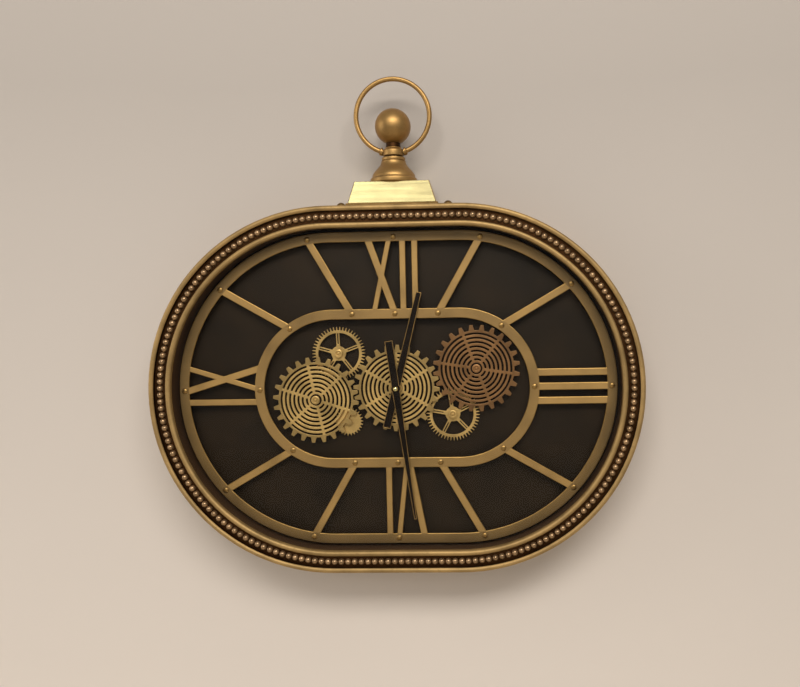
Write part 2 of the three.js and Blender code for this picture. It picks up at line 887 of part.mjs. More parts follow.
// A straight tapered hand along x, with a round hub and a square tail
function hand(reach, tail, tipWidth, bore, rear) {
  const half = handWidth / 2;
  const turn = THREE.MathUtils.radToDeg(Math.asin(half / handHubRadius));
  const outline = [
    [-tail, half],
    [-tail, -half],
    ...arc(handHubRadius, 180 + turn, 360 - turn, 4),
    [reach, -tipWidth / 2],
    [reach, tipWidth / 2],
    ...arc(handHubRadius, turn, 180 - turn, 4),
  ];
  return plate(outline, [circle(bore, boreSteps)], rear, rear + handThickness);
}

function addMotorCell() {
  const rear = rearRecess - 2 * cellRadius - holderWall - fit;
  const cellZ = rear + cellRadius;
  const halfWidth = cellLength / 2 + fit + holderWall;
  const halfHeight = cellRadius + fit + holderWall;
  const tray = moved(rectangle(halfWidth, -halfHeight, halfHeight), cellHolderCentre);
  const bay = cellBay(cellHolderCentre, rear, cellZ + cellRadius + fit);
  const holder = cut(plate(tray, [], rear, rearRecess), bay);
  addPiece('motor_cell_holder', holder, finish.blackPlastic());
  addPiece('motor_cell', cell(cellHolderCentre, cellZ), finish.cellWrap());
}

// Hanger

const hangerTop = bandInside - hangerDrop;
const hangerBottom = hangerTop - hangerHeight;

function hangerScrewPlaces() {
  const y = hangerTop - hangerScrewInset;
  return [[-hangerScrewSpan / 2, y], [hangerScrewSpan / 2, y]];
}

function addHanger() {
  const rear = flangeThickness;
  const front = rear + hangerThickness;
  const centre = [0, hangerBottom + keyholeInset];
  const slotTop = [0, centre[1] + keySlotRise];
  const turn = 90 - THREE.MathUtils.radToDeg(Math.asin(keySlotRadius / keyholeRadius));
  const keyhole = [
    ...arc(keyholeRadius, 180 - turn, 360 + turn, 10, centre),
    ...arc(keySlotRadius, 0, 180, 4, slotTop),
  ];
  const screwHoles = hangerScrewPlaces().map((place) => {
    return circle(smallScrewRadius + fit, pinSteps, place);
  });
  const outline = rectangle(hangerWidth / 2, hangerBottom, hangerTop);
  const hanger = plate(outline, [keyhole, ...screwHoles], rear, front);
  addPiece('wall_hanger', hanger, finish.steel());
  hangerScrewPlaces().forEach((place, i) => {
    const body = screw(
      smallScrewRadius, front - fit, smallScrewHeadRadius, smallScrewHeadHeight, front, place,
    );
    addPiece(`hanger_screw_${i ? 'right' : 'left'}`, body, finish.steel());
  });
}

// Plinth, finial and bow

const plinthZ = bandFront / 2;
const saddleTop = bezelRadius + fit;
const flangeTop = bandRadius + saddleFlange;

// Turns a piece that was drawn about the z axis to stand upright
function stoodUp(geometry, x) {
  return geometry.rotateX(-Math.PI / 2).translate(x, 0, plinthZ);
}

function plinthScrewPlaces() {
  const offset = saddleHalfWidth - plinthScrewInset;
  return [-offset, offset];
}

function plinthScrewHole(x) {
  const hole = circle(plinthScrewRadius + fit, pinSteps);
  return stoodUp(plate(hole, [], bandInside - fit, flangeTop + fit), x);
}

function addPlinth() {
  const depthFront = skirtFoot - saddleSetback;
  const depthRear = 2 * plinthZ - depthFront;
  const hat = [
    [-saddleHalfWidth, bandRadius],
    [saddleHalfWidth, bandRadius],
    [saddleHalfWidth, flangeTop],
    [saddleBlockHalfWidth, flangeTop],
    [saddleBlockHalfWidth, saddleTop],
    [-saddleBlockHalfWidth, saddleTop],
    [-saddleBlockHalfWidth, flangeTop],
    [-saddleHalfWidth, flangeTop],
  ];
  const saddle = plate(hat, [], depthRear, depthFront);
  const holes = plinthScrewPlaces().map((x) => plinthScrewHole(x));
  addPiece('plinth_saddle', cut(saddle, ...holes), finish.antiqueGold());
  plinthScrewPlaces().forEach((x, i) => {
    const length = saddleFlange + bandWall;
    const body = screw(
      plinthScrewRadius, length, plinthScrewHeadRadius, plinthScrewHeadHeight, flangeTop,
    );
    addPiece(`plinth_screw_${i ? 'right' : 'left'}`, stoodUp(body, x), finish.darkBronze());
  });

  const stripTop = saddleTop + plinthStrip;
  const top = stripTop + plinthHeight;
  const stripWidth = plinthHalfWidth + plinthStripMargin;
  const stripDepth = plinthHalfDepth + plinthStripMargin;
  const widths = [plinthHalfWidth, plinthTopHalfWidth];
  const depths = [plinthHalfDepth, plinthTopHalfDepth];
  const thinner = (half) => half - plinthWall;
  const strip = taperedBlock(
    saddleTop, stripTop, [stripWidth, stripWidth], [stripDepth, stripDepth], plinthZ,
  );
  const shell = taperedBlock(stripTop - fit, top, widths, depths, plinthZ);
  const hollow = taperedBlock(
    stripTop - plinthStrip - fit, top - plinthWall, widths.map(thinner), depths.map(thinner), plinthZ,
  );
  const studHole = stoodUp(
    plate(circle(finialStudRadius + fit, boreSteps), [], top - 2 * plinthWall, top + fit), 0,
  );
  addPiece('plinth', cut(join(strip, shell), hollow, studHole), finish.polishedBrass());
  addFinial(top);
}

// The ogee of the pedestal, from the bell in to the waist
function bell(foot) {
  const points = [];
  for (let i = 0; i <= bellSteps; i += 1) {
    const part = i / bellSteps;
    const share = (1 + Math.cos(Math.PI * part)) / 2;
    points.push([waistRadius + (bellRadius - waistRadius) * share, foot + bellHeight * part]);
  }
  return points;
}

function addFinial(base) {
  const bellFoot = base + footHeight + bellEase;
  const ringFoot = bellFoot + bellHeight + waistStep;
  const ringTop = ringFoot + waistRingHeight;
  const collarFoot = ringTop + collarGap;
  const collarTop = collarFoot + collarHeight;
  const collarMiddle = (collarFoot + collarTop) / 2;
  const neckTop = collarTop + neckHeight;
  const neckRadius = ballSeatRadius + neckMargin;
  const sag = bowRadius - Math.sqrt(bowRadius ** 2 - collarRadius ** 2);
  const holeRadius = bowWireRadius + sag / 2 + fit;
  const profile = [
    [0, base - finialStudLength],
    [finialStudRadius, base - finialStudLength],
    [finialStudRadius, base],
    [footRadius, base],
    [footRadius, base + footHeight],
    ...bell(bellFoot),
    [waistRingRadius, ringFoot],
    [waistRingRadius, ringTop],
    [collarRadius - collarEase, collarFoot],
    [collarRadius, collarFoot + collarEase],
    [collarRadius, collarTop - collarShoulder],
    [collarRadius - collarShoulder, collarTop],
    [neckRadius, collarTop + neckTaper],
    [neckRadius, neckTop],
    [0, neckTop],
  ];
  const pedestal = new THREE.LatheGeometry(vectors(profile), turnedSteps).translate(0, 0, plinthZ);
  const bowHole = plate(
    circle(holeRadius, boreSteps), [], -2 * collarRadius, 2 * collarRadius,
  ).rotateY(Math.PI / 2).translate(0, collarMiddle, plinthZ);
  addPiece('finial_pedestal', cut(pedestal, bowHole), finish.antiqueGold());

  const seatDepth = Math.sqrt(ballRadius ** 2 - ballSeatRadius ** 2);
  const seatAngle = THREE.MathUtils.radToDeg(Math.asin(seatDepth / ballRadius));
  const ballProfile = [[0, -seatDepth], ...arc(ballRadius, -seatAngle, 90, ballRings)];
  ballProfile[ballProfile.length - 1][0] = 0;
  const ball = new THREE.LatheGeometry(vectors(ballProfile), turnedSteps);
  addPiece(
    'finial_ball', ball.translate(0, neckTop + seatDepth, plinthZ), finish.antiqueGold(),
  );

  const bow = new THREE.TorusGeometry(bowRadius, bowWireRadius, pinSteps, bowSteps);
  const bowCentre = collarMiddle - sag / 2 + bowRadius;
  addPiece('bow_ring', bow.translate(0, bowCentre, plinthZ), finish.antiqueGold());
}

addCase();
addBezel();
addDial();
addTrain();
addMovement();
addMotorCell();
addHanger();
addPlinth();

drawing.rotation.x = Math.PI / 2;

const clock = new THREE.Group();
clock.name = 'gear_clock';
clock.add(drawing);

export default clock;
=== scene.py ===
import json
import math

import bmesh
import bpy
from bpy.props import FloatProperty, FloatVectorProperty, IntProperty, PointerProperty
from mathutils import Matrix, Vector

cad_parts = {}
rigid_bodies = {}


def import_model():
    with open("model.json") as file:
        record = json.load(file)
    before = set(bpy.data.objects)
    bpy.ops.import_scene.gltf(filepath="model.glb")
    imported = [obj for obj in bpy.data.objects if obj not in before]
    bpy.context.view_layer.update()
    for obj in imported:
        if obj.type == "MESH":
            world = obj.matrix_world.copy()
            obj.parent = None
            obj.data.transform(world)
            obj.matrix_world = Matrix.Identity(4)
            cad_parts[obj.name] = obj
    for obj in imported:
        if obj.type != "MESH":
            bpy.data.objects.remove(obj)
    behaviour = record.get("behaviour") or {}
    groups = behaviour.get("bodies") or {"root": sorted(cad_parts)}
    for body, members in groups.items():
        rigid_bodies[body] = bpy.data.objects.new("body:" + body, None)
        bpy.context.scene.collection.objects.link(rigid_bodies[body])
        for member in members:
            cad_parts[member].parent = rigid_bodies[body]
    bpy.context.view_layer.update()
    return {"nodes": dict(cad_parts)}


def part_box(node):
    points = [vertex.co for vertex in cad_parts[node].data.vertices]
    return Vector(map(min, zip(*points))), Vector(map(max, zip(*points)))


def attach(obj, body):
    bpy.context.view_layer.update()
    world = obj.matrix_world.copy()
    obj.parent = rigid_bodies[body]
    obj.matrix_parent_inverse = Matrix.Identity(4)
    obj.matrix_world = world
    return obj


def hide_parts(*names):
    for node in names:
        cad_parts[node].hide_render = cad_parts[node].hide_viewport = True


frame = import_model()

bl_info = {
    "name": "Gear Wall Clock",
    "version": (1, 0, 0),
    "blender": (4, 5, 0),
    "location": "View3D > Sidebar > Gear Clock",
    "description": "Dresses the frame of a stadium-shaped gear wall clock",
    "category": "Add Mesh",
}

mm = 0.001

# Pieces are drawn as the clock is seen from the front: x right, y up, z out of the wall.
# STAND_UP then turns the drawing to the frame, where the front faces -Y.
STAND_UP = Matrix.Rotation(math.pi / 2, 4, "X")


def out_from_wall(node):
    """How far a node's rear and front lie from the wall."""
    low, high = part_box(node)
    return -high.y, -low.y


def axis_of(node):
    """Where the middle of a node lies in the drawing, seen from the front."""
    low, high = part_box(node)
    return ((low.x + high.x) / 2, (low.z + high.z) / 2)


def half_width(node):
    low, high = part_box(node)
    return (high.x - low.x) / 2


def half_height(node):
    low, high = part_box(node)
    return (high.z - low.z) / 2


def tooth_angle(node, teeth):
    """The direction of a toothed node's first tooth, in degrees, from the tips of its frame mesh."""
    x, y = axis_of(node)
    margin = 0.02 * mm
    corners = [(vertex.co.x - x, vertex.co.z - y) for vertex in frame["nodes"][node].data.vertices]
    tip = max(math.hypot(*corner) for corner in corners) - margin
    angles = [math.atan2(up, right) * teeth for right, up in corners if math.hypot(right, up) > tip]
    turn = math.atan2(sum(map(math.sin, angles)), sum(map(math.cos, angles)))
    return math.degrees(turn / teeth)


# Case, from the frame: every closed outline is an offset of one straight, level spine
BEZEL_RADIUS = half_height("bezel")
HALF_SPINE = half_width("bezel") - BEZEL_RADIUS
BAND_RADIUS = half_height("case_band")
BAND_REAR, BAND_FRONT = out_from_wall("case_band")
PANEL_REAR, PANEL_FRONT = out_from_wall("back_panel")
PANEL_RADIUS = half_height("back_panel")
LINER_RADIUS = half_height("liner_band")
GLASS_REAR, GLASS_FRONT = out_from_wall("glass")
GLASS_RADIUS = half_height("glass")
SKIRT_FOOT, RIM_TOP = out_from_wall("bezel")
BEAD_FLOOR, BEAD_TOP = out_from_wall("bead_wire")
DIAL_REAR, DIAL_FRONT = out_from_wall("dial_frame")
OUTER_RING = half_height("dial_frame")
GEAR_REAR, GEAR_FRONT = out_from_wall("left_gear")
HUB_REAR = out_from_wall("left_wheel")[0]
MINUTE_FRONT = out_from_wall("minute_hand")[1]
MOVEMENT_REAR = out_from_wall("movement_case")[0]
PLINTH_DEPTH = -(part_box("finial_ball")[0].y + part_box("finial_ball")[1].y) / 2

# Case details
BAND_WALL = 2 * mm
FLANGE_WIDTH = 16 * mm
FLANGE_THICKNESS = 2 * mm
LEDGE_WIDTH = 6 * mm
LEDGE_THICKNESS = 2 * mm
LINER_WALL = 1.5 * mm
RIM_WIDTH = 6 * mm
CHANNEL_WIDTH = 12 * mm
LIP_WIDTH = 6 * mm
LIP_DROP = 1 * mm
SKIRT_GAP = 0.3 * mm
SKIRT_WALL = 2 * mm
RIM_RISE = 5 * mm
CHANNEL_OUTER = BEZEL_RADIUS - RIM_WIDTH
CHANNEL_INNER = CHANNEL_OUTER - CHANNEL_WIDTH
LIP_INNER = CHANNEL_INNER - LIP_WIDTH
BEAD_LINE = (CHANNEL_OUTER + CHANNEL_INNER) / 2
STRIP_FOOT = 1.6 * mm
STRIP_TOP = 1.2 * mm
STRIP_HEIGHT = 0.9 * mm
SIDE_SCREW_RADIUS = 2.2 * mm
SIDE_SCREW_HEIGHT = 1 * mm
SIDE_SCREW_SUNK = 0.2 * mm

# Dial details
RING_WIDTH = 11 * mm
INNER_RING = 88 * mm
RIVET_INSET = 6 * mm
RIVET_RADIUS = 3.2 * mm
RIVET_HEIGHT = 1.3 * mm
HOUR_BAR = 8 * mm
THICK_STROKE = 7.6 * mm
THIN_STROKE = 5.8 * mm
NUMERAL_BAR = 6.8 * mm
PILLAR_FLANGE = 1.2 * mm
PILLAR_SLOPE = 0.6 * mm
PILLAR_WAIST = 0.5 * mm
# Strokes of the full numerals: offset across the numeral at its outer and its inner end
NUMERAL_STROKES = {
    12: [
        (-29.5 * mm, 0.5 * mm, THICK_STROKE),
        (-4.5 * mm, -23 * mm, THIN_STROKE),
        (9.7 * mm, 9.7 * mm, NUMERAL_BAR),
        (23 * mm, 23 * mm, NUMERAL_BAR),
    ],
    3: [
        (-15.6 * mm, -15.6 * mm, HOUR_BAR),
        (0, 0, HOUR_BAR),
        (15.6 * mm, 15.6 * mm, HOUR_BAR),
    ],
    6: [
        (-29 * mm, -13 * mm, THICK_STROKE),
        (0, -10 * mm, THIN_STROKE),
        (10 * mm, 10 * mm, NUMERAL_BAR),
    ],
    9: [
        (-13.3 * mm, -13.3 * mm, NUMERAL_BAR),
        (-1.5 * mm, 24 * mm, THICK_STROKE),
        (26.5 * mm, 0.5 * mm, THIN_STROKE),
    ],
}

# Train details; angles are in degrees, and each gear and wheel is given with that of its first spoke
SHOW_GEARS = {"left": 42, "centre": 30, "right": 51}
GEAR_TEETH = 24
GEAR_TIP = 48 * mm
GEAR_ROOT = 42 * mm
TOOTH_TIP_WIDTH = 3.4 * mm
TOOTH_ROOT_WIDTH = 6.2 * mm
SLOT_ROWS = 7
SLOT_WIDTH = 2.2 * mm
GEAR_SPOKES = 6
GEAR_SPOKE_WIDTH = 2.4 * mm
GEAR_RIM = 2.4 * mm
HUB_RADIUS = 6.2 * mm
HUB_FLANGE_RADIUS = 8.6 * mm
HUB_SEAT = 0.1 * mm
FIT = 0.3 * mm
RUNNING = 0.4 * mm
OPEN_WHEELS = {"upper": 20, "lower": 26}
WHEEL_TEETH = 50
PINION_TEETH = 26
WHEEL_TIP = 29.7 * mm
WHEEL_ROOT = 27.3 * mm
PINION_TIP = 15.9 * mm
PINION_ROOT = 13.5 * mm
WHEEL_REAR = HUB_REAR + 0.6 * mm
WHEEL_FRONT = WHEEL_REAR + 1.8 * mm
WHEEL_RIM = 4.4 * mm
TOOTH_RELIEF = 1.5 * mm
# Half widths of a fine tooth, when a pitch counts as 360
FINE_TIP = 24
FINE_ROOT = 84
WHEEL_SPOKES = 5
WHEEL_SPOKE_WIDTH = 3.8 * mm
SPOKE_SLOT_WIDTH = 1.3 * mm
SPOKE_SLOT_START = 2.4 * mm
SPOKE_SLOT_END = 0.5 * mm
STAR_RADIUS = 8.2 * mm
STAR_ARM = 2 * mm
STAR_VALLEY = 1.6 * mm
STAR_HALF_ARM = 8
STAR_RISE = 0.5 * mm
SMALL_HUB_RADIUS = 4.6 * mm
PINION_SHAFT_RADIUS = 1.5 * mm
POST_RADIUS = 2.5 * mm
POST_HEAD_RADIUS = 4.8 * mm
POST_HEAD_HEIGHT = 2 * mm
POST_HEAD_BEVEL = 0.4 * mm
POST_HEAD_GROOVE = 0.9 * mm
POST_HEAD_POINT = 0.1 * mm
BUSH_RADIUS = 4 * mm

# Hands
HAND_WIDTH = 8.7 * mm
HAND_HUB_RADIUS = 5.4 * mm
HAND_RAIL = 0.6 * mm
HAND_RAIL_HEIGHT = 0.35 * mm
HAND_INSET_TIP = 0.3 * mm
HAND_NUT_BORE = 2.1 * mm
HAND_NUT_BORE_TOP = 2.3 * mm
HAND_NUT_SKIRT = 1.6 * mm
HANDS = {
    "hour": {"angle": 75.6, "reach": 109 * mm, "tail": 45 * mm, "tip": 6 * mm, "bore": 3.3 * mm},
    "minute": {"angle": -82.5, "reach": 146 * mm, "tail": 53 * mm, "tip": 2.7 * mm, "bore": 2.1 * mm},
}

# Plinth and finial details
SADDLE_FLANGE = 3 * mm
SADDLE_BLOCK = 49 * mm
SADDLE_SCREW_HEAD = 5.2 * mm
SADDLE_SCREW_SHANK = 2 * mm
PLINTH_STRIP = 3 * mm
PLINTH_MARGIN = 2 * mm
PLINTH_TOP_WIDTH = 41 * mm
PLINTH_TOP_DEPTH = 21.5 * mm
PLINTH_WALL = 1.6 * mm
STUD_RADIUS = 4 * mm
FOOT_RADIUS = 26.1 * mm
FOOT_HEIGHT = 4.6 * mm
BELL_RADIUS = 24 * mm
BELL_EASE = 1.8 * mm
BELL_HEIGHT = 17.8 * mm
WAIST_RADIUS = 13.6 * mm
WAIST_STEP = 0.6 * mm
WAIST_RING_RADIUS = 13 * mm
WAIST_RING_HEIGHT = 3.6 * mm
WAIST_RING_EASE = 1.2 * mm
WAIST_RING_DIP = 0.1 * mm
WAIST_RING_RISE = 0.5 * mm
COLLAR_GAP = 1.2 * mm
COLLAR_GROOVE = 0.8 * mm
COLLAR_GROOVE_SLOPE = 0.4 * mm
COLLAR_RADIUS = 11.4 * mm
COLLAR_HEIGHT = 9.5 * mm
COLLAR_EASE = 1 * mm
COLLAR_SHOULDER = 2.6 * mm
NECK_TAPER = 2.6 * mm
NECK_RADIUS = 8 * mm
BOW_HOLE = 3.81 * mm
BALL_RADIUS = 19.9 * mm
BOW_BOSS_RADIUS = 4.5 * mm
BOW_BOSS_LENGTH = 3.6 * mm
BOW_BOSS_STRAIGHT = 0.7

# Works behind the panel
CELL_SHOULDER = 1.2 * mm
CELL_DENT = 0.4 * mm
CELL_LIP = 1 * mm
CELL_NUB_RADIUS = 2.7 * mm
CELL_BAND_SHARE = 0.24
CELL_SINK = 0.2 * mm
CELL_EASE = 0.6 * mm
CELL_NUB_EASE = 0.5 * mm
CELL_BARE_END = 0.5 * mm
MOVEMENT_CORNER = 5 * mm
KNOB_BORE_RADIUS = 2.4 * mm
KNOB_BORE_DEPTH = 5.3 * mm
KNOB_STEM_RADIUS = 2 * mm
KNOB_STEM_START = 0.4 * mm
KNOB_DISH_RADIUS = 9 * mm
KNOB_DISH_DEPTH = 0.4 * mm
KNOB_GRIPS = 12
KNOB_GRIP_DEPTH = 0.5 * mm
GROOVES = 5
GROOVE_PLACE = (-16 * mm, 6 * mm)
GROOVE_PITCH = 3.2 * mm
GROOVE_HALF_LENGTH = 7 * mm
GROOVE_HALF_WIDTH = 0.6 * mm
GROOVE_DEPTH = 0.5 * mm
THREAD_PITCH = 0.75 * mm
THREAD_DEPTH = 0.25 * mm
BUSH_WALL = 0.7 * mm
BUSH_CHAMFER = 0.3 * mm
HOUR_TUBE_WALL = 0.8 * mm
MOTOR_BORE_RADIUS = 1.9 * mm
MOTOR_BORE_DEPTH = 4.3 * mm
MOTOR_BOSS = 0.6 * mm
MOTOR_SHOULDER = 1.8 * mm
MOTOR_SHOULDER_EASE = 1.2 * mm
MOTOR_LID = 3 * mm
MOTOR_LID_SLOPE_END = 2.6 * mm
MOTOR_LID_STEP = 0.5 * mm
TRAY_NOTCH_HALF_WIDTH = 7 * mm
TRAY_NOTCH_DEPTH = 5 * mm
KEYHOLE_RADIUS = 5 * mm
KEYHOLE_SLOT_RADIUS = 2.2 * mm
KEYHOLE_PLACE = 9 * mm
KEYHOLE_RISE = 7 * mm
HANGER_CORNER = 3 * mm
HANGER_HOLE_RADIUS = 1.8 * mm
SCREW_EDGE = 0.3 * mm
SCREW_SLOT_HALF_LENGTH = 4 * mm
SCREW_SLOT_HALF_WIDTH = 0.35 * mm
SCREW_SLOT_DEPTH = 0.7 * mm


class ClockLooks(bpy.types.PropertyGroup):
    """Sizes and colours of the dressed clock"""

    arc_steps: IntProperty(
        name="Arc steps", description="Segments in each half turn of the case", default=56, min=8)
    turn_steps: IntProperty(
        name="Turned steps", description="Segments in a full turn of a turned piece", default=56, min=8)
    edge: FloatProperty(
        name="Edge", description="Rounding of cut sheet edges", default=0.3 * mm, unit="LENGTH")
    bead_count: IntProperty(
        name="Beads", description="Beads in the bezel's channel", default=199, min=3)
    bead_radius: FloatProperty(
        name="Bead radius", description="Radius of one bead", default=3.6 * mm, unit="LENGTH")
    gold: FloatVectorProperty(
        name="Turned gold", description="Finial, bow, rivets and edges of the hands", subtype="COLOR",
        default=(0.37, 0.22, 0.077))
    bezel: FloatVectorProperty(
        name="Antique gold", description="Case, bezel and saddle", subtype="COLOR",
        default=(0.4, 0.262, 0.106))
    # The channel colour also darkens the finial's groove, and its neck as painted shade.
    channel: FloatVectorProperty(
        name="Channel", description="Dark patina of the bead channel and the liner", subtype="COLOR",
        default=(0.05, 0.022, 0.008))
    bead: FloatVectorProperty(
        name="Bead bronze", description="Colour of the beads", subtype="COLOR", default=(0.36, 0.23, 0.12))
    brass: FloatVectorProperty(
        name="Polished brass", description="Plinth, hand nut and hubs of the open wheels",
        subtype="COLOR", default=(0.87, 0.75, 0.37))
    dial: FloatVectorProperty(
        name="Satin brass", description="Dial frame", subtype="COLOR", default=(0.46, 0.268, 0.088))
    gear: FloatVectorProperty(
        name="Gear gold", description="Show gears, open wheels and posts", subtype="COLOR",
        default=(0.6, 0.385, 0.14))
    # Copper tone of the right gear and its post, made darker as a painted reflection of a dark figure in
    # front.
    copper: FloatVectorProperty(
        name="Gear copper", description="Right show gear and its post", subtype="COLOR",
        default=(0.33, 0.16, 0.06))
    dark: FloatVectorProperty(
        name="Dark bronze", description="Hands, hub wheels, pillars and side screws", subtype="COLOR",
        default=(0.012, 0.007, 0.0045))
    board: FloatVectorProperty(
        name="Board", description="Black back of the dial", subtype="COLOR",
        default=(0.017, 0.009, 0.0035))
    steel: FloatVectorProperty(
        name="Steel", description="Hanger, bush, shafts and motor", subtype="COLOR",
        default=(0.5, 0.5, 0.49))
    plastic: FloatVectorProperty(
        name="Plastic", description="Movement and cell holder", subtype="COLOR",
        default=(0.014, 0.014, 0.015))
    wrap: FloatVectorProperty(
        name="Cell wrap", description="Sleeve of the dry cells", subtype="COLOR",
        default=(0.03, 0.11, 0.06))
    wall: FloatVectorProperty(
        name="Wall", description="Backdrop behind the clock", subtype="COLOR",
        default=(0.6, 0.54, 0.49))
    floor: FloatVectorProperty(
        name="Floor", description="Floor below the clock", subtype="COLOR", default=(0.62, 0.57, 0.49))
    key: FloatProperty(
        name="Key light", description="Soft light in front and above", default=42, unit="POWER")
    card: FloatProperty(
        name="Card", description="Pale card that the polished plinth mirrors", default=1.9, unit="POWER")
    fill: FloatProperty(
        name="Fill light", description="Soft light from the left", default=8, unit="POWER")
    rear: FloatProperty(
        name="Rear light", description="Soft light on the back of the clock", default=9, unit="POWER")
    world: FloatProperty(
        name="Room light", description="Strength of the even light from all round", default=0.47)


# Shading


class Value:
    """A node's socket that can stand in a Python expression"""

    def __init__(self, graph, socket):
        self.graph = graph
        self.socket = socket

    def maths(self, operation, first, second):
        return self.graph.node("ShaderNodeMath", {"operation": operation}, {0: first, 1: second})

    def __add__(self, other):
        return self.maths("ADD", self, other)

    def __radd__(self, other):
        return self.maths("ADD", other, self)

    def __sub__(self, other):
        return self.maths("SUBTRACT", self, other)

    def __rsub__(self, other):
        return self.maths("SUBTRACT", other, self)

    def __mul__(self, other):
        return self.maths("MULTIPLY", self, other)

    def __rmul__(self, other):
        return self.maths("MULTIPLY", other, self)


class Graph:
    """A node tree under construction"""

    def node(self, kind, settings=None, sockets=None, output=0):
        """Adds a node: settings first, then the values or links of its sockets."""
        node = self.tree.nodes.new(kind)
        for key, value in (settings or {}).items():
            if key == "stops":
                self.set_stops(node.color_ramp, value)
            else:
                setattr(node, key, value)
        for key, value in (sockets or {}).items():
            if isinstance(value, Value):
                self.tree.links.new(value.socket, node.inputs[key])
            else:
                node.inputs[key].default_value = value
        return Value(self, node.outputs[output])

    def set_stops(self, ramp, stops):
        while len(ramp.elements) < len(stops):
            ramp.elements.new(1)
        for element, (place, colour) in zip(ramp.elements, stops):
            element.position = place
            element.color = (*colour, 1)


class Paint(Graph):
    """A material under construction"""

    def __init__(self, name):
        self.material = bpy.data.materials.new(name)
        self.material.use_nodes = True
        self.tree = self.material.node_tree
        self.tree.nodes.clear()
        self.output = self.tree.nodes.new("ShaderNodeOutputMaterial")

    def coordinates(self, stretch=(1, 1, 1)):
        place = self.node("ShaderNodeTexCoord", output="Object")
        if stretch == (1, 1, 1):
            return place
        return self.node("ShaderNodeMapping", None, {"Vector": place, "Scale": stretch})

    def noise(self, scale, detail=3, stretch=(1, 1, 1)):
        sockets = {"Vector": self.coordinates(stretch), "Scale": scale, "Detail": detail}
        return self.node("ShaderNodeTexNoise", None, sockets)

    def ramp(self, factor, *stops):
        return self.node("ShaderNodeValToRGB", {"stops": stops}, {"Fac": factor})

    def mix(self, factor, first, second):
        return self.node("ShaderNodeMix", {"data_type": "RGBA"}, {0: factor, 6: first, 7: second}, 2)

    def rise(self, value, start, end):
        """From 0 at start to 1 at end."""
        return self.node("ShaderNodeMapRange", None, {"Value": value, "From Min": start, "From Max": end})

    def front_place(self):
        """How far right and up a point lies, seen from the front."""
        place = self.coordinates()
        return [self.node("ShaderNodeSeparateXYZ", None, {0: place}, side) for side in "XZ"]

    def length(self, across, up):
        return across.maths("SQRT", across * across + up * up, 0)

    def stadium_reach(self):
        """Distance from the line between the centres of the case's round ends."""
        across, up = self.front_place()
        past_end = across.maths("MAXIMUM", across.maths("ABSOLUTE", across, 0) - HALF_SPINE, 0)
        return self.length(past_end, up)

    def axis_reach(self, node):
        """Distance from the axis that a node turns on."""
        x, y = axis_of(node)
        across, up = self.front_place()
        return self.length(across - x, up - y)

    def bump(self, height, strength, distance):
        sockets = {"Height": height, "Strength": strength, "Distance": distance}
        return self.node("ShaderNodeBump", None, sockets)

    def clouded(self, cloud, colour, dark, light):
        """A colour that runs from a darker to a lighter shade of itself."""
        return self.ramp(cloud, (0.3, shade(colour, dark)), (0.7, shade(colour, light)))

    def surface(self, **sockets):
        named = {}
        for key, value in sockets.items():
            named[key.replace("_", " ").title().replace("Ior", "IOR")] = value
        shader = self.node("ShaderNodeBsdfPrincipled", None, named)
        return self.finish(shader)

    def finish(self, shader):
        self.tree.links.new(shader.socket, self.output.inputs["Surface"])
        return self.material


def shade(colour, factor):
    return tuple(min(1, channel * factor) for channel in colour)


finishes = {}


def finish_once(make):
    """Makes each finish once, under its function's name."""
    def get(looks):
        if make.__name__ not in finishes:
            finishes[make.__name__] = make(looks, Paint(make.__name__))
        return finishes[make.__name__]
    return get


def aged_metal(paint, colour, roughness, patch=30, depth=0.55, metal=1.0, darkening=None):
    """Lacquered metal with cloudy patches, fine grain and dull specks, and darker where it is given."""
    cloud = paint.noise(patch, detail=4)
    grain = paint.noise(900, detail=2)
    tint = paint.ramp(
        cloud, (0.3, shade(colour, depth)), (0.5, colour), (0.72, shade(colour, 1.25)))
    speck = paint.noise(260, detail=5)
    rough = roughness + (cloud - 0.5) * 0.12 + (speck - 0.5) * 0.16
    base = paint.mix((speck - 0.56) * 2.2, tint, (*shade(colour, depth * 0.8), 1))
    if darkening is not None:
        base = paint.mix(darkening, base, (*shade(colour, 0.2), 1))
    return paint.surface(
        base_color=base,
        metallic=metal,
        roughness=rough,
        normal=paint.bump(grain * 0.5 + speck, strength=0.12, distance=0.12 * mm),
    )


@finish_once
def antique_gold(looks, paint):
    return aged_metal(paint, looks.bezel, roughness=0.56, depth=0.74, metal=0.8)


@finish_once
def turned_gold(looks, paint):
    """A warmer gold, smoother where a lathe and a bender left it."""
    return aged_metal(paint, looks.gold, roughness=0.45, depth=0.74, metal=0.9)


@finish_once
def rivet_gold(looks, paint):
    """Heads worn smoother than the sheet."""
    return aged_metal(paint, shade(looks.gold, 1.05), roughness=0.36, patch=120, depth=0.8)


@finish_once
def shaded_gold(looks, paint):
    """Gold darkened as painted shade on the plinth's strip and corner edges, and the darker gold of the
    saddle screws.
    """
    return aged_metal(paint, shade(looks.gold, 0.5), roughness=0.5)


@finish_once
def dark_channel(looks, paint):
    return aged_metal(paint, looks.channel, roughness=0.5, patch=70, depth=0.6)


@finish_once
def bead_bronze(looks, paint):
    return aged_metal(paint, looks.bead, roughness=0.29, patch=90, depth=0.7, metal=0.75)


GEAR_METAL = {"roughness": 0.42, "patch": 45, "depth": 0.7, "metal": 0.6}


@finish_once
def gear_gold(looks, paint):
    return aged_metal(paint, looks.gear, **GEAR_METAL)


def rim_tarnish(paint, reach, strength):
    """Darkening on the teeth and the plain rim of a show gear."""
    rim = GEAR_ROOT - GEAR_RIM
    blur = 0.5 * mm
    return paint.rise(reach, rim - blur, rim + blur) * strength


@finish_once
def show_gold(looks, paint):
    left, centre = [paint.axis_reach(f"{name}_gear") for name in ("left", "centre")]
    darkening = rim_tarnish(paint, left.maths("MINIMUM", left, centre), 0.45)
    return aged_metal(paint, shade(looks.gear, 1.04), **GEAR_METAL, darkening=darkening)


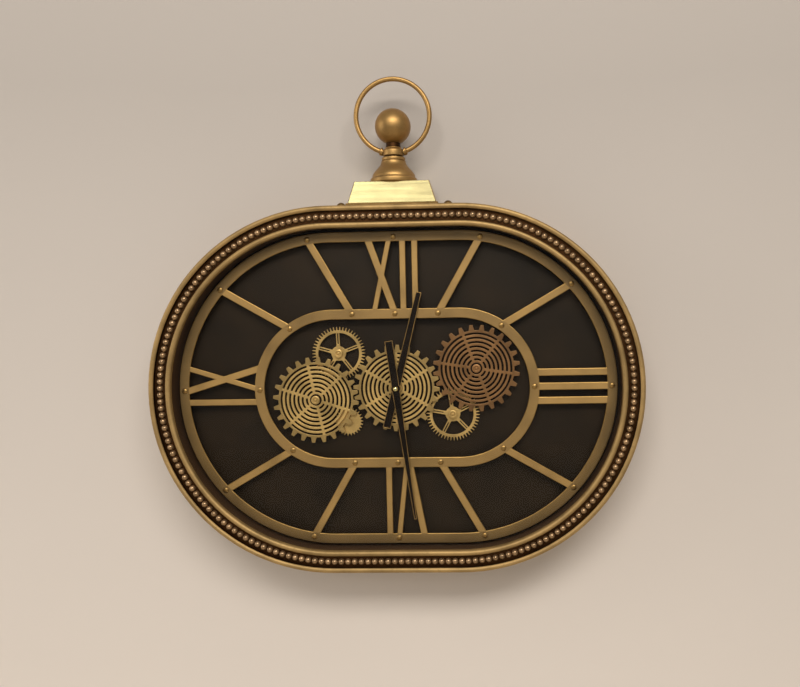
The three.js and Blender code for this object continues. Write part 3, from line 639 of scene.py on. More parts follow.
@finish_once
def show_copper(looks, paint):
    # Painted reflection: the copper is kept dark, as a dark figure in front would mirror in the gear.
    darkening = rim_tarnish(paint, paint.axis_reach("right_gear"), 0.3)
    return aged_metal(paint, shade(looks.copper, 0.94), **GEAR_METAL, darkening=darkening)


@finish_once
def satin_brass(looks, paint):
    """Sheet brass brushed across the dial, darker on both rings: on the outer ring a darker tone plus
    painted shade from the bezel lip, deepening towards its outer edge.
    """
    brushed = paint.noise(1, detail=3, stretch=(70, 1, 1600))
    cloud = paint.noise(24, detail=4)
    tint = paint.ramp(
        cloud, (0.32, shade(looks.dial, 0.72)), (0.52, looks.dial), (0.75, shade(looks.dial, 1.2)))
    sheet = paint.mix(brushed * 0.35, tint, (*shade(looks.dial, 0.6), 1))
    reach = paint.stadium_reach()
    edge = OUTER_RING - RING_WIDTH
    blur = 0.4 * mm
    outer = paint.rise(reach, edge - blur, edge + blur)
    inner = 1 - paint.rise(reach, INNER_RING - blur, INNER_RING + blur)
    # Painted shade and tone: the outer ring is darker all round, and darker still towards its outer edge
    # as painted shade of the bezel lip; the inner ring is a little darker.
    darkening = outer * (0.54 + 0.24 * paint.rise(reach, edge, OUTER_RING)) + inner * 0.3
    return paint.surface(
        base_color=paint.mix(darkening, sheet, (*shade(looks.dial, 0.18), 1)),
        metallic=0.3,
        roughness=0.48 + (brushed - 0.5) * 0.2 + (cloud - 0.5) * 0.12,
        normal=paint.bump(brushed, strength=0.06, distance=0.05 * mm),
    )


@finish_once
def bright_edge(looks, paint):
    """Worn brass along cut edges, more metallic than the sheet and kept out of the rings' darkening: edge
    wear plus a painted highlight on every edge.
    """
    return aged_metal(paint, shade(looks.dial, 0.85), roughness=0.42, patch=60, depth=0.75)


@finish_once
def polished_brass(looks, paint):
    """Bright brass with long faint polishing streaks."""
    streak = paint.noise(1, detail=4, stretch=(9, 40, 240))
    cloud = paint.noise(36, detail=3)
    return paint.surface(
        base_color=paint.ramp(
            cloud, (0.3, shade(looks.brass, 0.86)), (0.6, looks.brass), (0.8, shade(looks.brass, 1.1))),
        metallic=1.0,
        roughness=0.15 + (streak - 0.5) * 0.14,
        normal=paint.bump(streak, strength=0.03, distance=0.05 * mm),
    )


@finish_once
def dark_bronze(looks, paint):
    speck = paint.noise(500, detail=4)
    cloud = paint.noise(60, detail=3)
    return paint.surface(
        base_color=paint.ramp(
            cloud, (0.3, shade(looks.dark, 0.6)), (0.6, looks.dark), (0.85, shade(looks.dark, 1.5))),
        metallic=0.4,
        specular_ior_level=0.15,
        roughness=0.46 + (speck - 0.5) * 0.2,
        normal=paint.bump(speck, strength=0.1, distance=0.06 * mm),
    )


@finish_once
def hand_edge(looks, paint):
    """Light bronze on the raised edges of the hands: a painted highlight along the edges."""
    return aged_metal(paint, shade(looks.gold, 1.3), roughness=0.36, patch=80, depth=0.6)


@finish_once
def black_board(looks, paint):
    fibre = paint.noise(1, detail=5, stretch=(240, 240, 900))
    cloud = paint.noise(18, detail=3)
    return paint.surface(
        base_color=paint.clouded(cloud, looks.board, 0.7, 1.35),
        roughness=0.5 + (fibre - 0.5) * 0.08,
        specular_ior_level=0.2,
    )


@finish_once
def liner_paint(looks, paint):
    """Dark brown paint inside the case, behind the lip."""
    speck = paint.noise(650, detail=3)
    return paint.surface(
        base_color=paint.ramp(
            speck, (0.35, shade(looks.channel, 0.9)), (0.7, shade(looks.channel, 1.5))),
        roughness=0.5 + (speck - 0.5) * 0.3,
    )


@finish_once
def zinc_steel(looks, paint):
    spangle = paint.node("ShaderNodeTexVoronoi", None, {"Vector": paint.coordinates(), "Scale": 320})
    cloud = paint.noise(50, detail=4)
    return paint.surface(
        base_color=paint.clouded(cloud, looks.steel, 0.75, 1.1),
        metallic=1.0,
        roughness=0.34 + (spangle - 0.4) * 0.12 + (cloud - 0.5) * 0.14,
    )


@finish_once
def moulded_plastic(looks, paint):
    texture = paint.noise(1400, detail=2)
    cloud = paint.noise(40, detail=3)
    return paint.surface(
        base_color=paint.clouded(cloud, looks.plastic, 0.85, 1.3),
        roughness=0.46 + (texture - 0.5) * 0.16,
        normal=paint.bump(texture, strength=0.2, distance=0.06 * mm),
    )


@finish_once
def cell_wrap(looks, paint):
    cloud = paint.noise(60, detail=3)
    return paint.surface(
        base_color=paint.clouded(cloud, looks.wrap, 0.85, 1.15),
        roughness=0.24 + (cloud - 0.5) * 0.1,
        coat_weight=0.3,
    )


@finish_once
def clear_glass(looks, paint):
    """Flat pane: see-through, with a faint mirror that grows towards grazing sight."""
    fresnel = paint.node("ShaderNodeFresnel", None, {"IOR": 1.2})
    haze = paint.noise(14, detail=3)
    clear = paint.node("ShaderNodeBsdfTransparent", None, {"Color": (0.97, 0.98, 0.97, 1)})
    mirror = paint.node(
        "ShaderNodeBsdfPrincipled", None,
        {"Base Color": (0.95, 0.96, 0.95, 1), "Metallic": 1.0, "Roughness": 0.03})
    inner_face = paint.node("ShaderNodeNewGeometry", output="Backfacing")
    factor = (fresnel + (haze - 0.5) * 0.006) * (1 - inner_face)
    return paint.finish(paint.node("ShaderNodeMixShader", None, {0: factor, 1: clear, 2: mirror}))


@finish_once
def wall_paint(looks, paint):
    """Matt wall that lets the view through from behind, painted lighter towards the bottom and darker
    towards the top as painted light.
    """
    stipple = paint.noise(220, detail=3)
    # Painted light: the wall's colour runs lighter towards the bottom and darker towards the top.
    height = paint.node("ShaderNodeSeparateXYZ", None, {"Vector": paint.coordinates()}, "Z")
    cloud = paint.noise(2, detail=2) * 0.12
    matt = paint.node(
        "ShaderNodeBsdfPrincipled", None,
        {
            "Base Color": paint.ramp(
                height + cloud + 0.44,
                (0.15, shade(looks.wall, 1.26)), (0.5, looks.wall), (0.85, shade(looks.wall, 0.76))),
            "Roughness": 0.9,
            "Normal": paint.bump(stipple, strength=0.05, distance=0.2 * mm),
        })
    behind = paint.node("ShaderNodeNewGeometry", output="Backfacing")
    open_side = paint.node("ShaderNodeBsdfTransparent")
    return paint.finish(paint.node("ShaderNodeMixShader", None, {0: behind, 1: matt, 2: open_side}))


@finish_once
def floor_paint(looks, paint):
    cloud = paint.noise(5, detail=3)
    return paint.surface(
        base_color=paint.clouded(cloud, looks.floor, 0.98, 1.02),
        roughness=0.8,
    )


# Shapes in the drawing

DOUBLES = 0.002 * mm
SLIVERS = 0.001 * mm
ON_AXIS = 1e-6
NEEDLE = 1e-9


def polar(radius, degrees, centre=(0, 0)):
    angle = math.radians(degrees)
    return (centre[0] + radius * math.cos(angle), centre[1] + radius * math.sin(angle))


def arc(radius, start, end, steps, centre=(0, 0)):
    return [polar(radius, start + (end - start) * i / steps, centre) for i in range(steps + 1)]


def circle(radius, steps, centre=(0, 0)):
    return arc(radius, 0, 360, steps, centre)[:steps]


def stadium(radius, steps):
    right = arc(radius, -90, 90, steps, (HALF_SPINE, 0))
    return right + arc(radius, 90, 270, steps, (-HALF_SPINE, 0))


def rectangle(half_x, bottom, top, centre=(0, 0)):
    corners = [(-half_x, bottom), (half_x, bottom), (half_x, top), (-half_x, top)]
    return [(x + centre[0], y + centre[1]) for x, y in corners]


def rounded_square(half, corner, steps):
    flat = half - corner
    points = []
    for i, (x, y) in enumerate([(flat, flat), (-flat, flat), (-flat, -flat), (flat, -flat)]):
        points += arc(corner, 90 * i, 90 * i + 90, steps, (x, y))
    return points


def turned_by(points, degrees):
    cosine, sine = polar(1, degrees)
    return [(x * cosine - y * sine, x * sine + y * cosine) for x, y in points]


def moved(points, centre):
    return [(x + centre[0], y + centre[1]) for x, y in points]


def tidy(mesh):
    """Merges doubles, drops slivers and points the faces outwards."""
    shape = bmesh.new()
    shape.from_mesh(mesh)
    bmesh.ops.remove_doubles(shape, verts=shape.verts, dist=DOUBLES)
    bmesh.ops.dissolve_degenerate(shape, edges=shape.edges, dist=SLIVERS)
    bmesh.ops.recalc_face_normals(shape, faces=shape.faces)
    shape.to_mesh(mesh)
    shape.free()
    return mesh


def mesh_from(points, faces):
    mesh = bpy.data.meshes.new("shape")
    mesh.from_pydata(points, [], faces)
    return tidy(mesh)


def plate(loops, rear, front, edge=0.0):
    """A sheet cut to an outline and its holes, with its edges eased."""
    curve = bpy.data.curves.new("outline", "CURVE")
    curve.dimensions = "2D"
    curve.fill_mode = "BOTH"
    for loop in loops:
        spline = curve.splines.new("POLY")
        spline.points.add(len(loop) - 1)
        for point, (x, y) in zip(spline.points, loop):
            point.co = (x, y, 0, 1)
        spline.use_cyclic_u = True
    curve.extrude = (front - rear) / 2 - edge
    curve.bevel_depth = edge
    curve.bevel_resolution = 1 if edge else 0
    curve.offset = -edge
    outline = bpy.data.objects.new("outline", curve)
    mesh = bpy.data.meshes.new_from_object(outline)
    bpy.data.objects.remove(outline)
    bpy.data.curves.remove(curve)
    mesh.transform(Matrix.Translation((0, 0, (front + rear) / 2)))
    return tidy(mesh)


def grid(rows, closed_rows):
    """Faces between rows of points; each row closes on itself."""
    count = len(rows[0])
    points = [point for row in rows for point in row]
    faces = []
    for i in range(len(rows) if closed_rows else len(rows) - 1):
        here = i * count
        there = ((i + 1) % len(rows)) * count
        for j in range(count):
            k = (j + 1) % count
            faces.append((here + j, there + j, there + k, here + k))
    return points, faces


def swept(section, steps):
    """A section of (radius, height) carried round the case."""
    rows = []
    for radius, height in section:
        rows.append([(x, y, height) for x, y in stadium(radius, steps)])
    return mesh_from(*grid(rows, True))


def turned(profile, steps, centre=(0, 0)):
    """A profile of (radius, height) turned about an axis that points out of the wall."""
    rows = []
    for radius, height in profile:
        rows.append([(x, y, height) for x, y in circle(max(radius, NEEDLE), steps, centre)])
    hollow = profile[0][0] > ON_AXIS and profile[-1][0] > ON_AXIS
    return mesh_from(*grid(rows, hollow))


def rod(radius, rear, front, steps, centre=(0, 0)):
    """A plain round bar that points out of the wall."""
    return turned([(0, rear), (radius, rear), (radius, front), (0, front)], steps, centre)


def pin(radius, rear, front, bevel, steps, centre=(0, 0)):
    """A round bar with its front edge broken."""
    profile = [
        (0, rear),
        (radius, rear),
        (radius, front - bevel),
        (radius - bevel, front),
        (0, front),
    ]
    return turned(profile, steps, centre)


def stood_up(mesh, x=0.0):
    """Turns a piece drawn about the out-of-wall axis to stand on the plinth's axis."""
    upright = Matrix.Rotation(-math.pi / 2, 4, "X")
    mesh.transform(Matrix.Translation((x, 0, PLINTH_DEPTH)) @ upright)
    return mesh


def dome(radius, foot, height, steps=5):
    """Half profile of a domed head, from its edge to the axis."""
    profile = [(radius, foot)]
    for i in range(1, steps + 1):
        x, y = polar(1, 90 * i / steps)
        profile.append((radius * x, foot + height * y))
    return profile


def eased(profile, ease, steps=3):
    """Rounds the inner corners of an open profile by a small arc."""
    room = 2.2  # a side holds the arcs at both its ends and a little more
    points = [profile[0]]
    for before, corner, after in zip(profile, profile[1:], profile[2:]):
        here = Vector(corner)
        back = Vector(before) - here
        ahead = Vector(after) - here
        reach = min(ease, back.length / room, ahead.length / room)
        start = here + back.normalized() * reach
        end = here + ahead.normalized() * reach
        for i in range(steps + 1):
            share = i / steps
            rest = 1 - share
            point = start * rest ** 2 + here * (2 * share * rest) + end * share ** 2
            points.append((point.x, point.y))
    return points + [profile[-1]]


def eased_all(section, ease):
    """Rounds every corner of a closed section."""
    return eased([section[-1], *section, section[0]], ease, 2)[1:-1]


def crest(outer_radius, width, top):
    """Half-round edge of a section, from its outer radius inwards."""
    half = width / 2
    return arc(half, 0, 180, 12, (outer_radius - half, top - half))


def softened(mesh, width, segments=2):
    """Rounds the sharp edges of a mesh."""
    shape = bmesh.new()
    shape.from_mesh(mesh)
    fold = math.radians(28)
    sharp = [edge for edge in shape.edges if edge.is_manifold and edge.calc_face_angle(0) > fold]
    bmesh.ops.bevel(
        shape, geom=sharp, offset=width, segments=segments, profile=0.5, affect="EDGES",
        clamp_overlap=True)
    shape.to_mesh(mesh)
    shape.free()
    return tidy(mesh)


def front_outlines(mesh):
    """Closed outlines of the front face of a flat sheet, without points that nearly coincide."""
    shape = bmesh.new()
    shape.from_mesh(mesh)
    frontal = 0.9
    closest = 0.25 * mm
    following = {}
    for face in shape.faces:
        for loop in face.loops:
            if face.normal.z > frontal > loop.link_loop_radial_next.face.normal.z:
                following[loop.vert] = loop.link_loop_next.vert
    outlines = []
    while following:
        start, here = following.popitem()
        outline = [start.co.xy]
        while here is not start:
            if (here.co.xy - outline[-1]).length > closest:
                outline.append(here.co.xy)
            here = following.pop(here)
        outlines.append([tuple(point) for point in outline])
    shape.free()
    bpy.data.meshes.remove(mesh)
    return outlines


def in_scene(name, data):
    obj = bpy.data.objects.new(name, data)
    bpy.context.scene.collection.objects.link(obj)
    return obj


def evaluated(obj):
    """What an object's modifiers make of it, as a new mesh."""
    depsgraph = bpy.context.evaluated_depsgraph_get()
    return bpy.data.meshes.new_from_object(obj.evaluated_get(depsgraph))


def combined(mesh, others, operation):
    """Joins a mesh with others, or cuts them out of it."""
    base = in_scene("base", mesh)
    tools = bpy.data.collections.new("tools")
    bpy.context.scene.collection.children.link(tools)
    for other in others:
        tools.objects.link(bpy.data.objects.new("tool", other))
    modifier = base.modifiers.new("combine", "BOOLEAN")
    modifier.operation = operation
    modifier.solver = "EXACT"
    modifier.operand_type = "COLLECTION"
    modifier.collection = tools
    result = evaluated(base)
    for obj in [base, *tools.objects]:
        bpy.data.objects.remove(obj)
    bpy.data.collections.remove(tools)
    return tidy(result)


class Repeat(Graph):
    """A geometry node tree that ends in real, painted copies of one shape"""

    def __init__(self, name, **inputs):
        self.tree = bpy.data.node_groups.new(name, "GeometryNodeTree")
        self.add_socket("Geometry", "Geometry", "OUTPUT")
        for label, kind in {"Geometry": "Geometry", **inputs}.items():
            self.add_socket(label, kind, "INPUT")
        self.start = self.tree.nodes.new("NodeGroupInput")
        self.end = self.tree.nodes.new("NodeGroupOutput")

    def add_socket(self, label, kind, side):
        self.tree.interface.new_socket(label, in_out=side, socket_type="NodeSocket" + kind)

    def given(self, label):
        return Value(self, self.start.outputs[label])

    def copies(self, points, **sockets):
        shape = self.node("GeometryNodeObjectInfo", None, {"Object": self.given("Shape")}, "Geometry")
        copies = self.node(
            "GeometryNodeInstanceOnPoints", None, {"Points": points, "Instance": shape, **sockets})
        real = self.node("GeometryNodeRealizeInstances", None, {"Geometry": copies})
        painted = self.node(
            "GeometryNodeSetMaterial", None, {"Geometry": real, "Material": self.given("Finish")})
        self.tree.links.new(painted.socket, self.end.inputs["Geometry"])

    def applied(self, mesh, shape, **values):
        """The copies, as one mesh, that the tree makes on the points of a mesh."""
        carrier = in_scene("carrier", mesh)
        model = in_scene("model", shape)
        modifier = carrier.modifiers.new("repeat", "NODES")
        modifier.node_group = self.tree
        for item in self.tree.interface.items_tree:
            if item.in_out == "INPUT" and item.name in values:
                modifier[item.identifier] = values[item.name]
            if item.in_out == "INPUT" and item.name == "Shape":
                modifier[item.identifier] = model
        result = evaluated(carrier)
        carrier.modifiers.remove(modifier)
        bpy.data.objects.remove(carrier)
        bpy.data.objects.remove(model)
        return tidy(result)


def points_facing(places, facings):
    """A mesh of loose points, each with the direction that its copy faces."""
    mesh = bpy.data.meshes.new("points")
    mesh.from_pydata(places, [], [])
    layer = mesh.attributes.new("facing", "FLOAT_VECTOR", "POINT")
    for item, facing in zip(layer.data, facings):
        item.vector = facing
    return mesh


def repeat_on_points():
    repeat = Repeat("Repeat on points", Shape="Object", Finish="Material")
    facing = repeat.node(
        "GeometryNodeInputNamedAttribute", {"data_type": "FLOAT_VECTOR"}, {"Name": "facing"})
    turn = repeat.node("FunctionNodeAlignRotationToVector", {"axis": "Z"}, {"Vector": facing})
    repeat.copies(repeat.given("Geometry"), Rotation=turn)
    return repeat


def repeat_along_path():
    """Copies at an even pitch round a closed path, each a little smaller or larger."""
    repeat = Repeat(
        "Repeat along path", Shape="Object", Finish="Material", Count="Int", Smallest="Float", Seed="Int")
    path = repeat.node("GeometryNodeMeshToCurve", None, {"Mesh": repeat.given("Geometry")})
    even = repeat.node(
        "GeometryNodeResampleCurve", {"mode": "COUNT"}, {"Curve": path, "Count": repeat.given("Count")})
    size = repeat.node(
        "FunctionNodeRandomValue", {"data_type": "FLOAT"},
        {2: repeat.given("Smallest"), 3: 1.0, "Seed": repeat.given("Seed")}, 1)
    repeat.copies(even, Scale=size)
    return repeat


class Piece:
    """Gathers meshes and their finishes into one object that rides on a body"""

    def __init__(self, name):
        self.name = name
        self.shape = bmesh.new()
        self.finishes = []

    def number(self, finish):
        if finish not in self.finishes:
            self.finishes.append(finish)
        return self.finishes.index(finish)

    def add(self, mesh, finish):
        number = self.number(finish)
        before = len(self.shape.faces)
        self.shape.from_mesh(mesh)
        bpy.data.meshes.remove(mesh)
        self.shape.faces.ensure_lookup_table()
        for face in self.shape.faces[before:]:
            face.material_index = number
        return self

    def repaint(self, finish, chosen):
        """Gives another finish to the faces that are chosen by their middle and normal."""
        number = self.number(finish)
        for face in self.shape.faces:
            if chosen(face.calc_center_median(), face.normal):
                face.material_index = number
        return self

    def place(self, body, slot, *nodes, sharp=20):
        """Stands the piece up in the frame, in place of the nodes that it dresses."""
        mesh = bpy.data.meshes.new(self.name)
        self.shape.to_mesh(mesh)
        self.shape.free()
        mesh.transform(STAND_UP)
        for finish in self.finishes:
            mesh.materials.append(finish)
        mesh.shade_smooth()
        mesh.set_sharp_from_angle(angle=math.radians(sharp))
        obj = in_scene(self.name, mesh)
        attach(obj, body)
        if nodes:
            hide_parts(*nodes)


# Pieces


class CLOCK_OT_case(bpy.types.Operator):
    """Builds the case band, the dark liner inside it and the back panel"""
    bl_idname = "gear_clock.case"
    bl_label = "Case"

    def execute(self, context):
        looks = context.scene.clock_looks
        inside = BAND_RADIUS - BAND_WALL
        flange = BAND_RADIUS - FLANGE_WIDTH
        ledge = inside - LEDGE_WIDTH
        section = [
            (flange, BAND_REAR),
            (BAND_RADIUS, BAND_REAR),
            (BAND_RADIUS, BAND_FRONT),
            (inside, BAND_FRONT),
            (inside, PANEL_REAR),
            (ledge, PANEL_REAR),
            (ledge, PANEL_REAR - LEDGE_THICKNESS),
            (inside, PANEL_REAR - LEDGE_THICKNESS),
            (inside, FLANGE_THICKNESS),
            (flange, FLANGE_THICKNESS),
        ]
        band = swept(eased_all(section, 2 * looks.edge), looks.arc_steps)
        Piece("band").add(band, antique_gold(looks)).place("case", "antique_gold", "case_band")

        liner_inside = LINER_RADIUS - LINER_WALL
        liner = swept([
            (liner_inside, PANEL_FRONT),
            (LINER_RADIUS, PANEL_FRONT),
            (LINER_RADIUS, GLASS_REAR),
            (liner_inside, GLASS_REAR),
        ], looks.arc_steps)
        Piece("liner").add(liner, liner_paint(looks)).place("case", "black_paint", "liner_band")

        holes = [circle(BUSH_RADIUS + FIT, 24), circle(POST_RADIUS, 24, axis_of("drive_pinion"))]
        for name in ("left", "right", "upper", "lower"):
            holes.append(circle(POST_RADIUS + FIT, 24, axis_of(f"{name}_post")))
        outline = stadium(PANEL_RADIUS, looks.arc_steps)
        panel = plate([outline, *holes], PANEL_REAR, PANEL_FRONT, looks.edge)
        Piece("panel").add(panel, black_board(looks)).place("case", "black_board", "back_panel")
        return {"FINISHED"}


class CLOCK_OT_bezel(bpy.types.Operator):
    """Builds the bezel with its round rim and lip, dark channel and side screws"""
    bl_idname = "gear_clock.bezel"
    bl_label = "Bezel"

    def execute(self, context):
        looks = context.scene.clock_looks
        skirt_inside = BAND_RADIUS + SKIRT_GAP
        skirt_outside = skirt_inside + SKIRT_WALL
        section = [
            (skirt_inside, SKIRT_FOOT),
            (skirt_outside, SKIRT_FOOT),
            (skirt_outside, SKIRT_FOOT + RIM_RISE),
            (BEZEL_RADIUS, GLASS_FRONT - SKIRT_GAP),
            *crest(BEZEL_RADIUS, RIM_WIDTH, RIM_TOP),
            (CHANNEL_OUTER, BEAD_FLOOR),
            (CHANNEL_INNER, BEAD_FLOOR),
            *crest(CHANNEL_INNER, LIP_WIDTH, RIM_TOP - LIP_DROP),
            (LIP_INNER, GLASS_FRONT),
            (skirt_inside, GLASS_FRONT),
        ]
        margin = 0.5 * mm

        def in_channel(middle, normal):
            across = math.hypot(max(abs(middle.x) - HALF_SPINE, 0), middle.y)
            inside = CHANNEL_INNER - margin < across < CHANNEL_OUTER + margin
            return inside and middle.z > GLASS_FRONT

        ring = Piece("bezel_ring")
        ring.add(swept(section, looks.arc_steps), antique_gold(looks))
        ring.repaint(dark_channel(looks), in_channel)
        ring.place("case", "antique_gold", "bezel")

        profile = [(0, -SIDE_SCREW_SUNK), *dome(SIDE_SCREW_RADIUS, 0, SIDE_SCREW_HEIGHT)]
        head = turned(profile, 12)
        height = SKIRT_FOOT + RIM_RISE / 2
        places = []
        facings = []
        for x, side in ((-HALF_SPINE, -1), (HALF_SPINE, -1), (-HALF_SPINE, 1), (HALF_SPINE, 1)):
            places.append((x, side * skirt_outside, height))
            facings.append((0, side, 0))
        heads = repeat_on_points().applied(
            points_facing(places, facings), head, Finish=dark_bronze(looks))
        Piece("bezel_screws").add(heads, dark_bronze(looks)).place("case", "dark_bronze", sharp=50)
        return {"FINISHED"}


class CLOCK_OT_beads(bpy.types.Operator):
    """Lays the row of beads on its strip in the bezel's channel"""
    bl_idname = "gear_clock.beads"
    bl_label = "Beads"

    def execute(self, context):
        looks = context.scene.clock_looks
        radius = looks.bead_radius
        lift = BEAD_TOP - BEAD_FLOOR - radius
        start = -math.degrees(math.asin(lift / radius))
        bead = turned([(0, 0), *arc(radius, start, 90, 5, (0, lift))], 12)
        line = stadium(BEAD_LINE, looks.arc_steps)
        path = bpy.data.meshes.new("path")
        edges = [(i, (i + 1) % len(line)) for i in range(len(line))]
        path.from_pydata([(x, y, BEAD_FLOOR) for x, y in line], edges, [])
        row = repeat_along_path().applied(
            path, bead, Finish=bead_bronze(looks), Count=looks.bead_count, Smallest=0.97, Seed=4)
        strip = swept([
            (BEAD_LINE - STRIP_FOOT, BEAD_FLOOR),
            (BEAD_LINE + STRIP_FOOT, BEAD_FLOOR),
            (BEAD_LINE + STRIP_TOP, BEAD_FLOOR + STRIP_HEIGHT),
            (BEAD_LINE - STRIP_TOP, BEAD_FLOOR + STRIP_HEIGHT),
        ], looks.arc_steps)
        beads = Piece("bead_row")
        beads.add(row, bead_bronze(looks)).add(strip, dark_channel(looks))
        beads.place("case", "bead_bronze", "bead_wire", sharp=50)
        return {"FINISHED"}


class CLOCK_OT_glass(bpy.types.Operator):
    """Cuts the flat pane of glass"""
    bl_idname = "gear_clock.glass"
    bl_label = "Glass"

    def execute(self, context):
        looks = context.scene.clock_looks
        pane = plate([stadium(GLASS_RADIUS, looks.arc_steps)], GLASS_REAR, GLASS_FRONT, looks.edge)
        Piece("pane").add(pane, clear_glass(looks)).place("case", "clear_glass", "glass")
        return {"FINISHED"}


def ray_reach(radius, degrees):
    """How far out along a ray from the middle a stadium of this radius lies."""
    level, upright = [abs(side) for side in polar(1, degrees)]
    if upright * HALF_SPINE >= radius * level:
        return radius / upright
    along = HALF_SPINE * level
    return along + math.sqrt(along * along - HALF_SPINE * HALF_SPINE + radius * radius)


def hour_degrees(hour):
    return 90 - 30 * hour


def stroke(hour, outer_offset, inner_offset, width):
    """Outline of a straight stroke from the inner ring's middle to the outer ring's."""
    degrees = hour_degrees(hour)
    inner = ray_reach(INNER_RING - RING_WIDTH / 2, degrees)
    outer = ray_reach(OUTER_RING - RING_WIDTH / 2, degrees)
    lean = math.atan2(outer_offset - inner_offset, outer - inner)
    half = width / 2 / math.cos(lean)
    outline = [
        (inner_offset - half, inner),
        (inner_offset + half, inner),
        (outer_offset + half, outer),
        (outer_offset - half, outer),
    ]
    return turned_by(outline, degrees - 90)


class CLOCK_OT_dial(bpy.types.Operator):
    """Cuts the open dial frame and sets its pillars and rivet heads"""
    bl_idname = "gear_clock.dial"
    bl_label = "Dial"

    def execute(self, context):
        looks = context.scene.clock_looks
        steps = looks.arc_steps

        def ring(radius):
            return plate(
                [stadium(radius, steps), stadium(radius - RING_WIDTH, steps)], DIAL_REAR, DIAL_FRONT)

        parts = [ring(INNER_RING)]
        for hour in range(1, 13):
            for line in NUMERAL_STROKES.get(hour, [(0, 0, HOUR_BAR)]):
                parts.append(plate([stroke(hour, *line)], DIAL_REAR, DIAL_FRONT))
        outlines = front_outlines(combined(ring(OUTER_RING), parts, "UNION"))
        bevel = 2.2 * looks.edge
        side, face = 0.2, 0.95
        sheet = plate(outlines, DIAL_REAR, DIAL_FRONT, bevel)
        dial = Piece("dial_sheet").add(sheet, satin_brass(looks))
        # Painted highlight and wear: every bevel of the dial, facing the light or not, takes the edge
        # finish.
        dial.repaint(bright_edge(looks), lambda middle, normal: side < normal.z < face)
        dial.place("case", "satin_brass", "dial_frame")

        places = []
        for hour in range(1, 13):
            degrees = hour_degrees(hour)
            for radius in (OUTER_RING - RIVET_INSET, INNER_RING - RING_WIDTH / 2):
                places.append((*polar(ray_reach(radius, degrees), degrees), DIAL_FRONT))
        head = turned([(0, 0), *dome(RIVET_RADIUS, 0, RIVET_HEIGHT)], 14)
        heads = repeat_on_points().applied(
            points_facing(places, [(0, 0, 1)] * len(places)), head, Finish=rivet_gold(looks))
        Piece("rivet_heads").add(heads, rivet_gold(looks)).place("case", "antique_gold", sharp=50)

        pillars = Piece("dial_pillars")
        radius = half_width("dial_post_01")
        waist = radius - PILLAR_WAIST
        profile = eased([
            (0, PANEL_FRONT),
            (radius, PANEL_FRONT),
            (radius, PANEL_FRONT + PILLAR_FLANGE),
            (waist, PANEL_FRONT + PILLAR_FLANGE + PILLAR_SLOPE),
            (waist, DIAL_REAR - 2 * PILLAR_SLOPE),
            (radius, DIAL_REAR - PILLAR_SLOPE),
            (radius, DIAL_REAR),
            (0, DIAL_REAR),
        ], looks.edge)
        posts = [f"dial_post_{hour:02d}" for hour in range(1, 13)]
        for post in posts:
            pillars.add(turned(profile, 20, axis_of(post)), dark_bronze(looks))
        pillars.place("case", "dark_bronze", *posts)
        return {"FINISHED"}


# Gear train


def block_teeth(first):
    """Outline of a show gear's square-topped teeth."""
    half_tip = math.degrees(TOOTH_TIP_WIDTH / 2 / GEAR_TIP)
    half_root = math.degrees(TOOTH_ROOT_WIDTH / 2 / GEAR_ROOT)
    points = []
    for i in range(GEAR_TEETH):
        middle = first + 360 * i / GEAR_TEETH
        points.append(polar(GEAR_ROOT, middle - half_root))
        points.append(polar(GEAR_TIP, middle - half_tip))
        points.append(polar(GEAR_TIP, middle + half_tip))
        points.append(polar(GEAR_ROOT, middle + half_root))
        points.append(polar(GEAR_ROOT, middle + 180 / GEAR_TEETH))
    return points


def pointed_teeth(tip, root, teeth, first):
    """Outline of a fine wheel's narrow teeth."""
    half_tip = FINE_TIP / teeth
    half_root = FINE_ROOT / teeth
    points = []
    for i in range(teeth):
        middle = first + 360 * i / teeth
        points.append(polar(tip, middle - half_tip))
        points.append(polar(tip, middle + half_tip))
        points.append(polar(root, middle + half_root))
        points.append(polar(root, middle + 360 / teeth - half_root))
    return points


def curved_slot(inner, outer, start, end):
    """A slot along a circle with half-round ends."""
    middle = (inner + outer) / 2
    half = (outer - inner) / 2
    start_turn = start + math.degrees(half / middle)
    end_turn = end - math.degrees(half / middle)
    coarsest = 5
    steps = max(4, round((end - start) / coarsest))
    points = arc(outer, start_turn, end_turn, steps)
    points += arc(half, end_turn, end_turn + 180, 6, polar(middle, end_turn))[1:-1]
    points += arc(inner, end_turn, start_turn, steps)
    points += arc(half, start_turn + 180, start_turn + 360, 6, polar(middle, start_turn))[1:-1]
    return points


def gear_slots(spoke, bore):
    """Rows of curved slots between the hub and the rim of a show gear."""
    outermost = GEAR_ROOT - GEAR_RIM - SLOT_WIDTH / 2
    innermost = bore + GEAR_RIM + SLOT_WIDTH / 2
    slots = []
    for row in range(SLOT_ROWS):
        middle = innermost + (outermost - innermost) * row / (SLOT_ROWS - 1)
        clear = math.degrees(GEAR_SPOKE_WIDTH / 2 / middle)
        for i in range(GEAR_SPOKES):
            start = spoke + 360 * i / GEAR_SPOKES + clear
            end = spoke + 360 * (i + 1) / GEAR_SPOKES - clear
            slots.append(curved_slot(middle - SLOT_WIDTH / 2, middle + SLOT_WIDTH / 2, start, end))
    return slots


def wheel_windows(spoke):
    """Windows between the spokes of an open wheel, and the slot along each spoke."""
    outer = WHEEL_ROOT - WHEEL_RIM
    half = WHEEL_SPOKE_WIDTH / 2
    outer_clear = math.degrees(math.asin(half / outer))
    inner_clear = math.degrees(math.asin(half / STAR_RADIUS))
    windows = []
    for i in range(WHEEL_SPOKES):
        here = spoke + 360 * i / WHEEL_SPOKES
        there = here + 360 / WHEEL_SPOKES
        windows.append(
            arc(outer, here + outer_clear, there - outer_clear, 10)
            + arc(STAR_RADIUS, there - inner_clear, here + inner_clear, 4))
        slot = rectangle(SPOKE_SLOT_WIDTH / 2, STAR_RADIUS + SPOKE_SLOT_START, outer - SPOKE_SLOT_END)
        windows.append(turned_by(slot, here - 90))
    return windows


